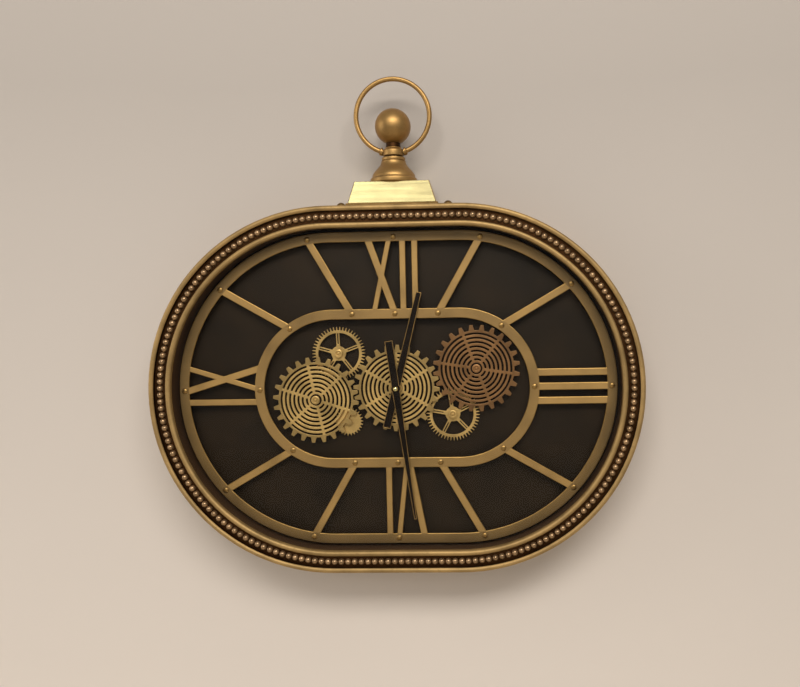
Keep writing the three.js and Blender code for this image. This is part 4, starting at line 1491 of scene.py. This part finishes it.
class CLOCK_OT_gears(bpy.types.Operator):
    """Cuts the three slotted show gears"""
    bl_idname = "gear_clock.gears"
    bl_label = "Show gears"

    def execute(self, context):
        looks = context.scene.clock_looks
        bore = HUB_RADIUS + FIT
        for name, spoke in SHOW_GEARS.items():
            node = f"{name}_gear"
            axis = axis_of(node)
            teeth = block_teeth(tooth_angle(node, GEAR_TEETH))
            loops = [teeth, circle(bore, 32), *gear_slots(spoke, bore)]
            gear = plate([moved(loop, axis) for loop in loops], GEAR_REAR, GEAR_FRONT, looks.edge)
            finish = show_copper(looks) if name == "right" else show_gold(looks)
            slot = "copper" if name == "right" else "gear_gold"
            Piece(f"{name}_show_gear").add(gear, finish).place(f"{name}_train", slot, node)
        return {"FINISHED"}


class CLOCK_OT_wheels(bpy.types.Operator):
    """Cuts the fine wheels behind the show gears, the open wheels and the pinion"""
    bl_idname = "gear_clock.wheels"
    bl_label = "Fine wheels"

    def execute(self, context):
        looks = context.scene.clock_looks
        gold = gear_gold(looks)
        for name in SHOW_GEARS:
            node = f"{name}_wheel"
            axis = axis_of(node)
            shaft = BUSH_RADIUS if name == "centre" else POST_RADIUS
            bore = shaft + RUNNING
            teeth = pointed_teeth(WHEEL_TIP, WHEEL_ROOT, WHEEL_TEETH, tooth_angle(node, WHEEL_TEETH))
            loops = [moved(teeth, axis), circle(HUB_RADIUS, 32, axis)]
            disc = plate(loops, WHEEL_REAR, WHEEL_FRONT, looks.edge / 2)
            finish = dark_bronze(looks)
            hub = turned([
                (bore, HUB_REAR),
                (HUB_FLANGE_RADIUS, HUB_REAR),
                (HUB_FLANGE_RADIUS, GEAR_REAR - HUB_SEAT),
                (HUB_RADIUS, GEAR_REAR - HUB_SEAT),
                (HUB_RADIUS, GEAR_FRONT - looks.edge),
                (HUB_RADIUS - looks.edge, GEAR_FRONT),
                (bore + looks.edge, GEAR_FRONT),
                (bore, GEAR_FRONT - looks.edge),
            ], 40, axis)
            Piece(f"{name}_hub_wheel").add(disc, finish).add(hub, finish).place(
                f"{name}_train", "dark_bronze", node)

        star_tip = STAR_RADIUS + STAR_ARM
        star_valley = SMALL_HUB_RADIUS + STAR_VALLEY
        star_front = WHEEL_FRONT + STAR_RISE
        hub_front = out_from_wall("upper_wheel")[1]
        bore = POST_RADIUS + RUNNING
        for name, spoke in OPEN_WHEELS.items():
            node = f"{name}_wheel"
            axis = axis_of(node)
            root = WHEEL_ROOT - TOOTH_RELIEF
            teeth = pointed_teeth(WHEEL_TIP, root, WHEEL_TEETH, tooth_angle(node, WHEEL_TEETH))
            loops = [teeth, circle(SMALL_HUB_RADIUS, 32), *wheel_windows(spoke)]
            disc = plate([moved(loop, axis) for loop in loops], WHEEL_REAR, WHEEL_FRONT, looks.edge / 2)
            star = []
            for i in range(WHEEL_SPOKES):
                here = spoke + 360 * i / WHEEL_SPOKES
                star.append(polar(star_tip, here - STAR_HALF_ARM, axis))
                star.append(polar(star_tip, here + STAR_HALF_ARM, axis))
                star.append(polar(star_valley, here + 180 / WHEEL_SPOKES, axis))
            raised = plate(
                [star, circle(SMALL_HUB_RADIUS, 32, axis)], WHEEL_FRONT, star_front, looks.edge / 2)
            hub = turned(eased_all([
                (bore, HUB_REAR),
                (SMALL_HUB_RADIUS, HUB_REAR),
                (SMALL_HUB_RADIUS, hub_front),
                (bore, hub_front),
            ], looks.edge), 32, axis)
            wheel = Piece(f"{name}_open_wheel")
            wheel.add(disc, gold).add(raised, gold).add(hub, polished_brass(looks))
            wheel.place(f"{name}_train", "gear_gold", node)

        axis = axis_of("drive_pinion")
        rear = out_from_wall("drive_pinion")[0]
        angle = tooth_angle("drive_pinion", PINION_TEETH)
        teeth = moved(pointed_teeth(PINION_TIP, PINION_ROOT, PINION_TEETH, angle), axis)
        loops = [teeth, circle(PINION_SHAFT_RADIUS, 24, axis)]
        rim = plate(loops, WHEEL_REAR, WHEEL_FRONT, looks.edge / 2)
        shaft = pin(PINION_SHAFT_RADIUS, rear, WHEEL_FRONT, looks.edge, 24, axis)
        pinion = Piece("pinion_wheel")
        pinion.add(rim, gold).add(shaft, zinc_steel(looks)).place("pinion", "gear_gold", "drive_pinion")
        return {"FINISHED"}


class CLOCK_OT_posts(bpy.types.Operator):
    """Turns the posts that the gears run on and the collar of the centre gear"""
    bl_idname = "gear_clock.posts"
    bl_label = "Gear posts"

    def execute(self, context):
        looks = context.scene.clock_looks
        foot_radius = half_width("left_post")
        head_radius = POST_HEAD_RADIUS
        foot = HUB_REAR - FIT
        for name in ("left", "right", "upper", "lower"):
            node = f"{name}_post"
            rear, front = out_from_wall(node)
            seat = front - POST_HEAD_HEIGHT
            groove = front - POST_HEAD_GROOVE
            shank = [
                (0, rear),
                (POST_RADIUS, rear),
                (POST_RADIUS, PANEL_FRONT),
                (foot_radius, PANEL_FRONT),
                (foot_radius, foot),
                (POST_RADIUS, foot),
                (POST_RADIUS, seat),
            ]
            head = eased([
                (POST_RADIUS, seat),
                (head_radius, seat),
                (head_radius, front - POST_HEAD_BEVEL),
                (head_radius * 0.78, front),
                (head_radius * 0.6, front),
                (head_radius * 0.5, groove),
                (head_radius * 0.34, groove),
                (head_radius * 0.24, front - POST_HEAD_POINT),
                (0, front),
            ], looks.edge)
            finish = show_copper(looks) if name == "right" else gear_gold(looks)
            post = turned([*shank, *head[1:]], 36, axis_of(node))
            Piece(f"{name}_gear_post").add(post, finish).place("case", "polished_brass", node, sharp=40)

        rear, front = out_from_wall("centre_collar")
        bore = BUSH_RADIUS + FIT
        radius = half_width("centre_collar")
        section = [(bore, rear), (radius, rear), (radius, front), (bore, front)]
        collar = turned(eased_all(section, looks.edge), 40)
        Piece("collar").add(collar, gear_gold(looks)).place("case", "gear_gold", "centre_collar")
        return {"FINISHED"}


# Hands


def hand_outline(reach, tail, half_tip, half, hub):
    turn = math.degrees(math.asin(half / hub))
    return [
        (-tail, half),
        (-tail, -half),
        *arc(hub, 180 + turn, 360 - turn, 14),
        (reach, -half_tip),
        (reach, half_tip),
        *arc(hub, turn, 180 - turn, 14),
    ]


class CLOCK_OT_hands(bpy.types.Operator):
    """Cuts the two dark hands with their raised edges, and turns the hand nut"""
    bl_idname = "gear_clock.hands"
    bl_label = "Hands"

    def execute(self, context):
        looks = context.scene.clock_looks
        half = HAND_WIDTH / 2
        for name, hand in HANDS.items():
            rear, front = out_from_wall(f"{name}_hand")
            face = front - HAND_RAIL_HEIGHT
            half_tip = hand["tip"] / 2
            outline = hand_outline(hand["reach"], hand["tail"], half_tip, half, HAND_HUB_RADIUS)
            inset = hand_outline(
                hand["reach"] - HAND_RAIL, hand["tail"] - HAND_RAIL,
                max(half_tip - HAND_RAIL, HAND_INSET_TIP), half - HAND_RAIL, HAND_HUB_RADIUS - HAND_RAIL)
            bore = circle(hand["bore"], 32)
            blade = plate([turned_by(outline, hand["angle"]), bore], rear, face, looks.edge / 3)
            rails = plate(
                [turned_by(outline, hand["angle"]), turned_by(inset, hand["angle"])], face, front,
                looks.edge / 3)
            piece = Piece(f"{name}_pointer")
            # Painted highlight: the raised edges take a light bronze, where the blades are dark.
            piece.add(blade, dark_bronze(looks)).add(rails, hand_edge(looks))
            piece.place(name, "dark_bronze", f"{name}_hand")

        rear, front = out_from_wall("hand_nut")
        radius = half_width("hand_nut")
        skirt = rear + HAND_NUT_SKIRT
        bore_top = MINUTE_FRONT + HAND_NUT_BORE_TOP
        nut = turned([
            (0, bore_top),
            (HAND_NUT_BORE, bore_top),
            (HAND_NUT_BORE, rear),
            (radius - looks.edge, rear),
            (radius, rear + looks.edge),
            *dome(radius, skirt, front - skirt, steps=7),
        ], 36)
        Piece("hand_cap").add(nut, polished_brass(looks)).place("minute", "polished_brass", "hand_nut")
        return {"FINISHED"}


# Plinth and finial


def boxed(rows):
    """A closed body from level rectangles, each given as half width, half depth and height."""
    loops = []
    for width, depth, height in rows:
        loops.append([(x, y, height) for x, y in rectangle(width, -depth, depth)])
    points, faces = grid(loops, False)
    last = len(points)
    faces += [(3, 2, 1, 0), (last - 4, last - 3, last - 2, last - 1)]
    return mesh_from(points, faces)


class CLOCK_OT_plinth(bpy.types.Operator):
    """Builds the saddle on the case, its screws and the polished plinth"""
    bl_idname = "gear_clock.plinth"
    bl_label = "Plinth"

    def execute(self, context):
        looks = context.scene.clock_looks
        rear, front = out_from_wall("plinth_saddle")
        low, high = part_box("plinth_saddle")
        flange_top = low.z + SADDLE_FLANGE
        hat = [
            (low.x, low.z),
            (high.x, low.z),
            (high.x, flange_top),
            (SADDLE_BLOCK, flange_top),
            (SADDLE_BLOCK, high.z),
            (-SADDLE_BLOCK, high.z),
            (-SADDLE_BLOCK, flange_top),
            (low.x, flange_top),
        ]
        saddle = softened(plate([hat], rear, front), 2 * looks.edge)
        Piece("saddle").add(saddle, antique_gold(looks)).place("case", "antique_gold", "plinth_saddle")

        for side in ("left", "right"):
            node = f"plinth_screw_{side}"
            low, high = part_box(node)
            profile = [
                (0, low.z),
                (SADDLE_SCREW_SHANK, low.z),
                (SADDLE_SCREW_SHANK, flange_top),
                (SADDLE_SCREW_HEAD, flange_top),
                *dome(SADDLE_SCREW_HEAD, high.z - SADDLE_SCREW_HEAD, SADDLE_SCREW_HEAD, steps=9),
            ]
            screw = stood_up(turned(profile, 32), axis_of(node)[0])
            Piece(f"saddle_screw_{side}").add(screw, shaded_gold(looks)).place(
                "case", "dark_bronze", node)

        low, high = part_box("plinth")
        strip = (high.x, (high.y - low.y) / 2)
        strip_top = low.z + PLINTH_STRIP
        foot = [half - PLINTH_MARGIN for half in strip]
        top = (PLINTH_TOP_WIDTH, PLINTH_TOP_DEPTH)
        shell = boxed([
            (top[0] - PLINTH_WALL, top[1] - PLINTH_WALL, high.z - PLINTH_WALL),
            (foot[0] - PLINTH_WALL, foot[1] - PLINTH_WALL, low.z),
            (*strip, low.z),
            (*strip, strip_top),
            (*foot, strip_top),
            (*top, high.z),
        ])
        plinth = stood_up(softened(shell, width=2.4 * looks.edge, segments=3))
        slant = 0.2

        def in_shade(middle, normal):
            corner = abs(normal.x) > slant and abs(normal.z) > slant
            return middle.y < strip_top or corner

        cap = Piece("plinth_shell").add(plinth, polished_brass(looks))
        cap.repaint(shaded_gold(looks), in_shade)
        cap.place("case", "polished_brass", "plinth", sharp=12)
        return {"FINISHED"}


class CLOCK_OT_finial(bpy.types.Operator):
    """Turns the pedestal and the ball, and bends the bow ring"""
    bl_idname = "gear_clock.finial"
    bl_label = "Finial"

    def execute(self, context):
        looks = context.scene.clock_looks
        gold = turned_gold(looks)
        low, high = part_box("finial_pedestal")
        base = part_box("plinth")[1].z
        bell_foot = base + FOOT_HEIGHT + BELL_EASE
        waist = bell_foot + BELL_HEIGHT
        ring_foot = waist + WAIST_STEP
        ring_top = ring_foot + WAIST_RING_HEIGHT
        collar_foot = ring_top + COLLAR_GAP
        collar_top = collar_foot + COLLAR_HEIGHT
        groove = COLLAR_RADIUS - COLLAR_EASE - COLLAR_GROOVE
        bell = []
        steps = 16
        for i in range(steps + 1):
            share = (1 + math.cos(math.pi * i / steps)) / 2
            radius = WAIST_RADIUS + (BELL_RADIUS - WAIST_RADIUS) * share
            bell.append((radius, bell_foot + BELL_HEIGHT * i / steps))
        lower = eased([
            (0, low.z),
            (STUD_RADIUS, low.z),
            (STUD_RADIUS, base),
            (FOOT_RADIUS, base),
            (FOOT_RADIUS, base + FOOT_HEIGHT),
            (BELL_RADIUS, bell_foot),
        ], 3 * looks.edge)
        upper = eased([
            (WAIST_RADIUS, waist),
            (WAIST_RING_RADIUS - WAIST_RING_EASE, ring_foot - WAIST_RING_DIP),
            (WAIST_RING_RADIUS, ring_foot + WAIST_RING_RISE),
            (WAIST_RING_RADIUS, ring_top),
            (groove, ring_top + COLLAR_GROOVE_SLOPE),
            (groove, collar_foot),
            (COLLAR_RADIUS, collar_foot + COLLAR_EASE),
            (COLLAR_RADIUS, collar_top - COLLAR_SHOULDER),
            (COLLAR_RADIUS - COLLAR_SHOULDER, collar_top),
            (NECK_RADIUS, collar_top + NECK_TAPER),
            (NECK_RADIUS, high.z),
            (0, high.z),
        ], 2 * looks.edge)
        pedestal = turned([*lower[:-1], *bell, *upper[1:]], looks.turn_steps)
        reach = 2 * COLLAR_RADIUS
        bore = rod(BOW_HOLE, -reach, reach, 32)
        middle = Matrix.Translation((0, 0, (collar_foot + collar_top) / 2))
        bore.transform(middle @ Matrix.Rotation(math.pi / 2, 4, "Y"))
        pedestal = stood_up(combined(pedestal, [bore], "DIFFERENCE"))
        neck_foot = collar_top + NECK_TAPER / 2

        # The groove between the waist ring and the collar takes the channel's dark colour, and the neck
        # under the ball takes it as painted shade.
        def in_groove(middle, normal):
            return ring_top < middle.y < collar_foot or middle.y > neck_foot

        stand = Piece("pedestal").add(pedestal, gold)
        stand.repaint(dark_channel(looks), in_groove)
        stand.place("case", "antique_gold", "finial_pedestal")

        low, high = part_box("finial_ball")
        centre = high.z - BALL_RADIUS
        start = math.degrees(math.asin((low.z - centre) / BALL_RADIUS))
        profile = [(0, low.z), *arc(BALL_RADIUS, start, 90, 28, (0, centre))]
        ball = stood_up(turned(profile, looks.turn_steps))
        Piece("ball").add(ball, gold).place("case", "antique_gold", "finial_ball")

        low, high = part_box("bow_ring")
        wire = (high.y - low.y) / 2
        radius = (high.x - low.x) / 2 - wire
        centre = (low.z + high.z) / 2
        section = circle(wire, 16, (radius, PLINTH_DEPTH))
        bow = Piece("bow").add(turned(section, 96, (0, centre)), gold)
        mouth = COLLAR_RADIUS + FIT
        drop = math.sqrt(radius ** 2 - mouth ** 2)
        start = math.degrees(math.asin(mouth / radius))
        length = math.degrees(BOW_BOSS_LENGTH / radius)
        for side in (-1, 1):
            rows = []
            for size in (wire, BOW_BOSS_RADIUS):
                rows.append([
                    (side * mouth, y + centre - drop, z + PLINTH_DEPTH) for y, z in circle(size, 20)])
            for share, size in ((BOW_BOSS_STRAIGHT, BOW_BOSS_RADIUS), (1, wire)):
                turn = Matrix.Rotation(math.radians(side * (start + share * length)), 3, "Z")
                ends = [turn @ Vector((0, y - radius, z)) for y, z in circle(size, 20)]
                rows.append([(end.x, end.y + centre, end.z + PLINTH_DEPTH) for end in ends])
            bow.add(mesh_from(*grid(rows, True)), gold)
        bow.place("bow", "antique_gold", "bow_ring")
        return {"FINISHED"}


# Works behind the panel


def dry_cell(looks, name, node):
    """A dry cell along x: plain sleeve, bare metal ends and a raised nub."""
    low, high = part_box(node)
    radius = (high.z - low.z) / 2
    left, right = low.x, high.x
    shoulder = right - CELL_SHOULDER
    band = right - (right - left) * CELL_BAND_SHARE
    sleeve = eased([
        (0, left + CELL_DENT),
        (radius - CELL_LIP, left + CELL_DENT),
        (radius, left),
        (radius, band),
        (radius, shoulder),
        (radius - CELL_LIP, shoulder),
        (0, shoulder - CELL_SINK),
    ], CELL_EASE)
    foot = shoulder - FIT
    button = eased([
        (0, foot),
        (CELL_NUB_RADIUS, foot),
        (CELL_NUB_RADIUS, right),
        (0, right),
    ], CELL_NUB_EASE)
    place = Matrix.Translation((0, (low.z + high.z) / 2, -(low.y + high.y) / 2))
    along_x = place @ Matrix.Rotation(math.pi / 2, 4, "Y")
    body = turned(sleeve, 40)
    body.transform(along_x)
    nub = turned(button, 24)
    nub.transform(along_x)

    def bare(middle, normal):
        return middle.x > band or middle.x < left + CELL_BARE_END

    cell = Piece(name).add(body, cell_wrap(looks)).add(nub, zinc_steel(looks))
    cell.repaint(zinc_steel(looks), bare)
    cell.place("case", "cell_wrap", node)


def bay_of(node, air):
    """A block as large as the pocket that a cell drops into from behind."""
    low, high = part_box(node)
    rear, front = out_from_wall(node)
    mouth = rear - 2 * mm
    outline = rectangle(half_width(node) + air, low.z - air, high.z + air, (axis_of(node)[0], 0))
    return plate([outline], mouth, front + air)


class CLOCK_OT_movement(bpy.types.Operator):
    """Builds the clock movement, its cell, its knob and the bush through the panel"""
    bl_idname = "gear_clock.movement"
    bl_label = "Movement"

    def execute(self, context):
        looks = context.scene.clock_looks
        rear, front = out_from_wall("movement_case")
        half = half_width("movement_case")
        shell = plate([rounded_square(half, MOVEMENT_CORNER, 6)], rear, front, 2 * looks.edge)
        knob_axis = axis_of("set_knob")
        stem_bore = rod(KNOB_BORE_RADIUS, rear - mm, rear + KNOB_BORE_DEPTH, 24, knob_axis)
        dish = rod(KNOB_DISH_RADIUS, rear - mm, rear + KNOB_DISH_DEPTH, 40, knob_axis)
        x, y = GROOVE_PLACE
        grooves = []
        for i in range(GROOVES):
            centre = (x, y + GROOVE_PITCH * i)
            groove = rectangle(GROOVE_HALF_LENGTH, -GROOVE_HALF_WIDTH, GROOVE_HALF_WIDTH, centre)
            grooves.append(plate([groove], rear - mm, rear + GROOVE_DEPTH))
        bay = bay_of("movement_cell", FIT)
        shell = combined(shell, [bay, dish, stem_bore, *grooves], "DIFFERENCE")
        Piece("movement_shell").add(shell, moulded_plastic(looks)).place(
            "case", "black_plastic", "movement_case")
        dry_cell(looks, "movement_dry_cell", "movement_cell")

        knob_rear, knob_front = out_from_wall("set_knob")
        radius = half_width("set_knob")
        points = 4 * KNOB_GRIPS
        rim = []
        for i in range(points):
            reach = radius if i % 4 < 2 else radius - KNOB_GRIP_DEPTH
            rim.append(polar(reach, 360 * i / points, knob_axis))
        cap = plate([rim], knob_rear, MOVEMENT_REAR - FIT, looks.edge)
        stem = rod(KNOB_STEM_RADIUS, MOVEMENT_REAR - KNOB_STEM_START, knob_front, 24, knob_axis)
        knob = Piece("setting_knob").add(cap, moulded_plastic(looks)).add(stem, moulded_plastic(looks))
        knob.place("knob", "black_plastic", "set_knob")

        rear, front = out_from_wall("movement_bush")
        inner = BUSH_RADIUS - BUSH_WALL
        thread = []
        for i in range(int((front - rear) / THREAD_PITCH)):
            thread.append((BUSH_RADIUS - THREAD_DEPTH, rear + THREAD_PITCH * i))
            thread.append((BUSH_RADIUS, rear + THREAD_PITCH * (i + 0.5)))
        bush = turned([(inner, rear), *thread, (BUSH_RADIUS - BUSH_CHAMFER, front), (inner, front)], 32)
        Piece("threaded_bush").add(bush, zinc_steel(looks)).place("case", "steel", "movement_bush")

        rear, front = out_from_wall("bush_nut")
        loops = [circle(half_width("bush_nut"), 6), circle(BUSH_RADIUS + FIT, 32)]
        nut = plate(loops, rear, front, looks.edge)
        Piece("hex_nut").add(nut, zinc_steel(looks)).place("case", "steel", "bush_nut")

        rear, front = out_from_wall("hour_tube")
        radius = half_width("hour_tube")
        inner = radius - HOUR_TUBE_WALL
        tube = turned([(inner, rear), (radius, rear), (radius, front), (inner, front)], 32)
        Piece("hour_sleeve").add(tube, zinc_steel(looks)).place("hour", "steel", "hour_tube")

        rear, front = out_from_wall("minute_arbor")
        arbor = pin(half_width("minute_arbor"), rear, front, looks.edge, 32)
        Piece("minute_shaft").add(arbor, zinc_steel(looks)).place("minute", "steel", "minute_arbor")
        return {"FINISHED"}


class CLOCK_OT_motor(bpy.types.Operator):
    """Builds the motor of the gear train and the holder of its cell"""
    bl_idname = "gear_clock.motor"
    bl_label = "Motor"

    def execute(self, context):
        looks = context.scene.clock_looks
        rear, front = out_from_wall("gear_motor")
        radius = half_width("gear_motor")
        boss = rear + MOTOR_BOSS
        lid = radius - MOTOR_LID_STEP
        floor = front - MOTOR_BORE_DEPTH
        can = turned(eased([
            (0, rear),
            (radius * 0.35, rear),
            (radius * 0.4, boss),
            (radius - MOTOR_SHOULDER_EASE, boss),
            (radius, rear + MOTOR_SHOULDER),
            (radius, front - MOTOR_LID),
            (lid, front - MOTOR_LID_SLOPE_END),
            (lid, front),
            (MOTOR_BORE_RADIUS, front),
            (MOTOR_BORE_RADIUS, floor),
            (0, floor),
        ], looks.edge), looks.turn_steps, axis_of("gear_motor"))
        Piece("motor_can").add(can, zinc_steel(looks)).place("case", "steel", "gear_motor")

        rear, front = out_from_wall("motor_cell_holder")
        low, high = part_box("motor_cell_holder")
        middle = (axis_of("motor_cell_holder")[0], 0)
        outline = rectangle(half_width("motor_cell_holder"), low.z, high.z, middle)
        tray = plate([outline], rear, front, looks.edge)
        gap = rectangle(TRAY_NOTCH_HALF_WIDTH, low.z - mm, high.z + mm, middle)
        notch = plate([gap], rear - mm, rear + TRAY_NOTCH_DEPTH)
        tray = combined(tray, [bay_of("motor_cell", FIT), notch], "DIFFERENCE")
        Piece("cell_tray").add(tray, moulded_plastic(looks)).place(
            "case", "black_plastic", "motor_cell_holder")
        dry_cell(looks, "motor_dry_cell", "motor_cell")
        return {"FINISHED"}


class CLOCK_OT_hanger(bpy.types.Operator):
    """Cuts the keyhole plate behind the top of the case and sets its screws"""
    bl_idname = "gear_clock.hanger"
    bl_label = "Hanger"

    def execute(self, context):
        looks = context.scene.clock_looks
        rear, front = out_from_wall("wall_hanger")
        low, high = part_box("wall_hanger")
        key = (0, low.z + KEYHOLE_PLACE)
        slot_top = (0, key[1] + KEYHOLE_RISE)
        turn = 90 - math.degrees(math.asin(KEYHOLE_SLOT_RADIUS / KEYHOLE_RADIUS))
        keyhole = arc(KEYHOLE_RADIUS, 180 - turn, 360 + turn, 28, key)
        keyhole += arc(KEYHOLE_SLOT_RADIUS, 0, 180, 12, slot_top)
        left, right = low.x + HANGER_CORNER, high.x - HANGER_CORNER
        lower, upper = low.z + HANGER_CORNER, high.z - HANGER_CORNER
        outline = []
        for i, centre in enumerate([(right, upper), (left, upper), (left, lower), (right, lower)]):
            outline += arc(HANGER_CORNER, 90 * i, 90 * i + 90, 6, centre)
        screws = ["hanger_screw_left", "hanger_screw_right"]
        holes = [circle(HANGER_HOLE_RADIUS, 20, axis_of(screw)) for screw in screws]
        hanger = plate([outline, keyhole, *holes], rear, front, looks.edge)
        Piece("keyhole_plate").add(hanger, zinc_steel(looks)).place("case", "steel", "wall_hanger")

        for screw in screws:
            back, top = out_from_wall(screw)
            shank = half_width(screw) / 2
            head = half_width(screw) / math.cos(math.pi / 6)
            profile = [
                (0, back),
                (shank, back),
                (shank, front),
                (head, front),
                *dome(head, front + SCREW_EDGE, top - front - SCREW_EDGE, steps=6),
            ]
            x, y = axis_of(screw)
            body = turned(profile, 28, (x, y))
            slot = rectangle(
                SCREW_SLOT_HALF_LENGTH, y - SCREW_SLOT_HALF_WIDTH, y + SCREW_SLOT_HALF_WIDTH, (x, 0))
            groove = plate([slot], top - SCREW_SLOT_DEPTH, top + mm)
            body = combined(body, [groove], "DIFFERENCE")
            Piece(f"{screw}_slotted").add(body, zinc_steel(looks)).place("case", "steel", screw)
        return {"FINISHED"}


# Stage

STUDIO_FLOOR = -0.62
ROOM_COLOUR = (0.62, 0.6, 0.57, 1)
# Each light takes its power from the look of its name; here are its size, place, target and colour
LIGHTS = {
    "key": ((2.0, 0.6), (0.25, -1.85, 1.45), (0, 0, 0), (1, 0.96, 0.9)),
    "card": ((0.95, 0.34), (-0.2, -1.6, 0.57), (0, 0, 0.215), (1, 0.97, 0.92)),
    "fill": ((0.9, 1.2), (-1.9, -0.6, 0.35), (0, 0, 0), (1, 0.97, 0.93)),
    "rear": ((1.0, 1.0), (-0.7, 1.5, 0.9), (0, 0, 0), (1, 0.98, 0.95)),
}
EYE = (107.9 * mm, -882.6 * mm, 91.7 * mm)
YAW, PITCH, ROLL = math.radians(-2.17), math.radians(-2.25), math.radians(-1.01)
SENSOR = 36
LENS = 34.2
SHIFT = (-0.0805, -0.012)
NEAREST = 0.01


def flat_sheet(name, points, faces, finish):
    mesh = bpy.data.meshes.new(name)
    mesh.from_pydata(points, [], faces)
    mesh.materials.append(finish)
    sheet = in_scene(name, mesh)


def soft_light(name, power, size, place, target, colour):
    light = bpy.data.lights.new(name, "AREA")
    light.shape = "RECTANGLE"
    light.size, light.size_y = size
    light.energy = power
    light.color = colour
    lamp = in_scene(name, light)
    lamp.location = place
    lamp.rotation_euler = (Vector(target) - Vector(place)).to_track_quat("-Z", "Y").to_euler()


class CLOCK_OT_stage(bpy.types.Operator):
    """Sets the wall, the floor, the lights and the camera"""
    bl_idname = "gear_clock.stage"
    bl_label = "Stage"

    def execute(self, context):
        looks = context.scene.clock_looks
        reach = 3.0
        ceiling = 1.8
        behind = 0.6 * mm
        # The wall is open behind the case, so that light reaches the works when they are seen from behind
        opening = stadium(BAND_RADIUS - FLANGE_WIDTH / 2, looks.arc_steps)
        spread = reach / LIP_INNER
        edge = []
        for x, y in opening:
            across = max(-reach, min(reach, x * spread))
            edge.append((across, max(STUDIO_FLOOR, min(ceiling, y * spread))))
        rows = [[(x, behind, y) for x, y in line] for line in (opening, edge)]
        flat_sheet("wall", *grid(rows, False), wall_paint(looks))
        floor = [(x, y, STUDIO_FLOOR) for x, y in rectangle(reach, -reach, reach)]
        flat_sheet("floor", floor, [(0, 1, 2, 3)], floor_paint(looks))

        for name, light in LIGHTS.items():
            soft_light(name, getattr(looks, name), *light)
        world = bpy.data.worlds.new("studio")
        world.use_nodes = True
        background = world.node_tree.nodes["Background"]
        background.inputs["Color"].default_value = ROOM_COLOUR
        background.inputs["Strength"].default_value = looks.world
        context.scene.world = world

        forward = Vector((math.sin(YAW), math.cos(YAW), 0)) * math.cos(PITCH)
        forward.z = math.sin(PITCH)
        across = Vector((math.cos(YAW), -math.sin(YAW), 0))
        upward = across.cross(forward)
        right = across * math.cos(ROLL) + upward * math.sin(ROLL)
        up = upward * math.cos(ROLL) - across * math.sin(ROLL)
        camera = bpy.data.cameras.new("camera")
        camera.sensor_fit = "HORIZONTAL"
        camera.sensor_width = SENSOR
        camera.lens = LENS
        camera.shift_x, camera.shift_y = SHIFT
        camera.clip_start = NEAREST
        eye = in_scene("camera", camera)
        turn = Matrix((right, up, -forward)).transposed().to_4x4()
        eye.matrix_world = Matrix.Translation(EYE) @ turn
        context.scene.camera = eye
        context.scene.view_settings.view_transform = "Standard"
        return {"FINISHED"}


OPERATORS = (
    CLOCK_OT_case,
    CLOCK_OT_bezel,
    CLOCK_OT_beads,
    CLOCK_OT_glass,
    CLOCK_OT_dial,
    CLOCK_OT_gears,
    CLOCK_OT_wheels,
    CLOCK_OT_posts,
    CLOCK_OT_hands,
    CLOCK_OT_plinth,
    CLOCK_OT_finial,
    CLOCK_OT_movement,
    CLOCK_OT_motor,
    CLOCK_OT_hanger,
    CLOCK_OT_stage,
)


class CLOCK_PT_panel(bpy.types.Panel):
    """Lists the looks and the steps that dress the clock"""
    bl_idname = "CLOCK_PT_panel"
    bl_label = "Gear Clock"
    bl_space_type = "VIEW_3D"
    bl_region_type = "UI"
    bl_category = "Gear Clock"

    def draw(self, context):
        for name in ClockLooks.__annotations__:
            self.layout.prop(context.scene.clock_looks, name)
        for operator in OPERATORS:
            self.layout.operator(operator.bl_idname)


CLASSES = (ClockLooks, *OPERATORS, CLOCK_PT_panel)


def register():
    for item in CLASSES:
        bpy.utils.register_class(item)
    bpy.types.Scene.clock_looks = PointerProperty(type=ClockLooks)


def unregister():
    del bpy.types.Scene.clock_looks
    for item in reversed(CLASSES):
        bpy.utils.unregister_class(item)


def main():
    register()
    for operator in OPERATORS:
        group, name = operator.bl_idname.split(".")
        getattr(getattr(bpy.ops, group), name)()


if __name__ == "__main__":
    main()
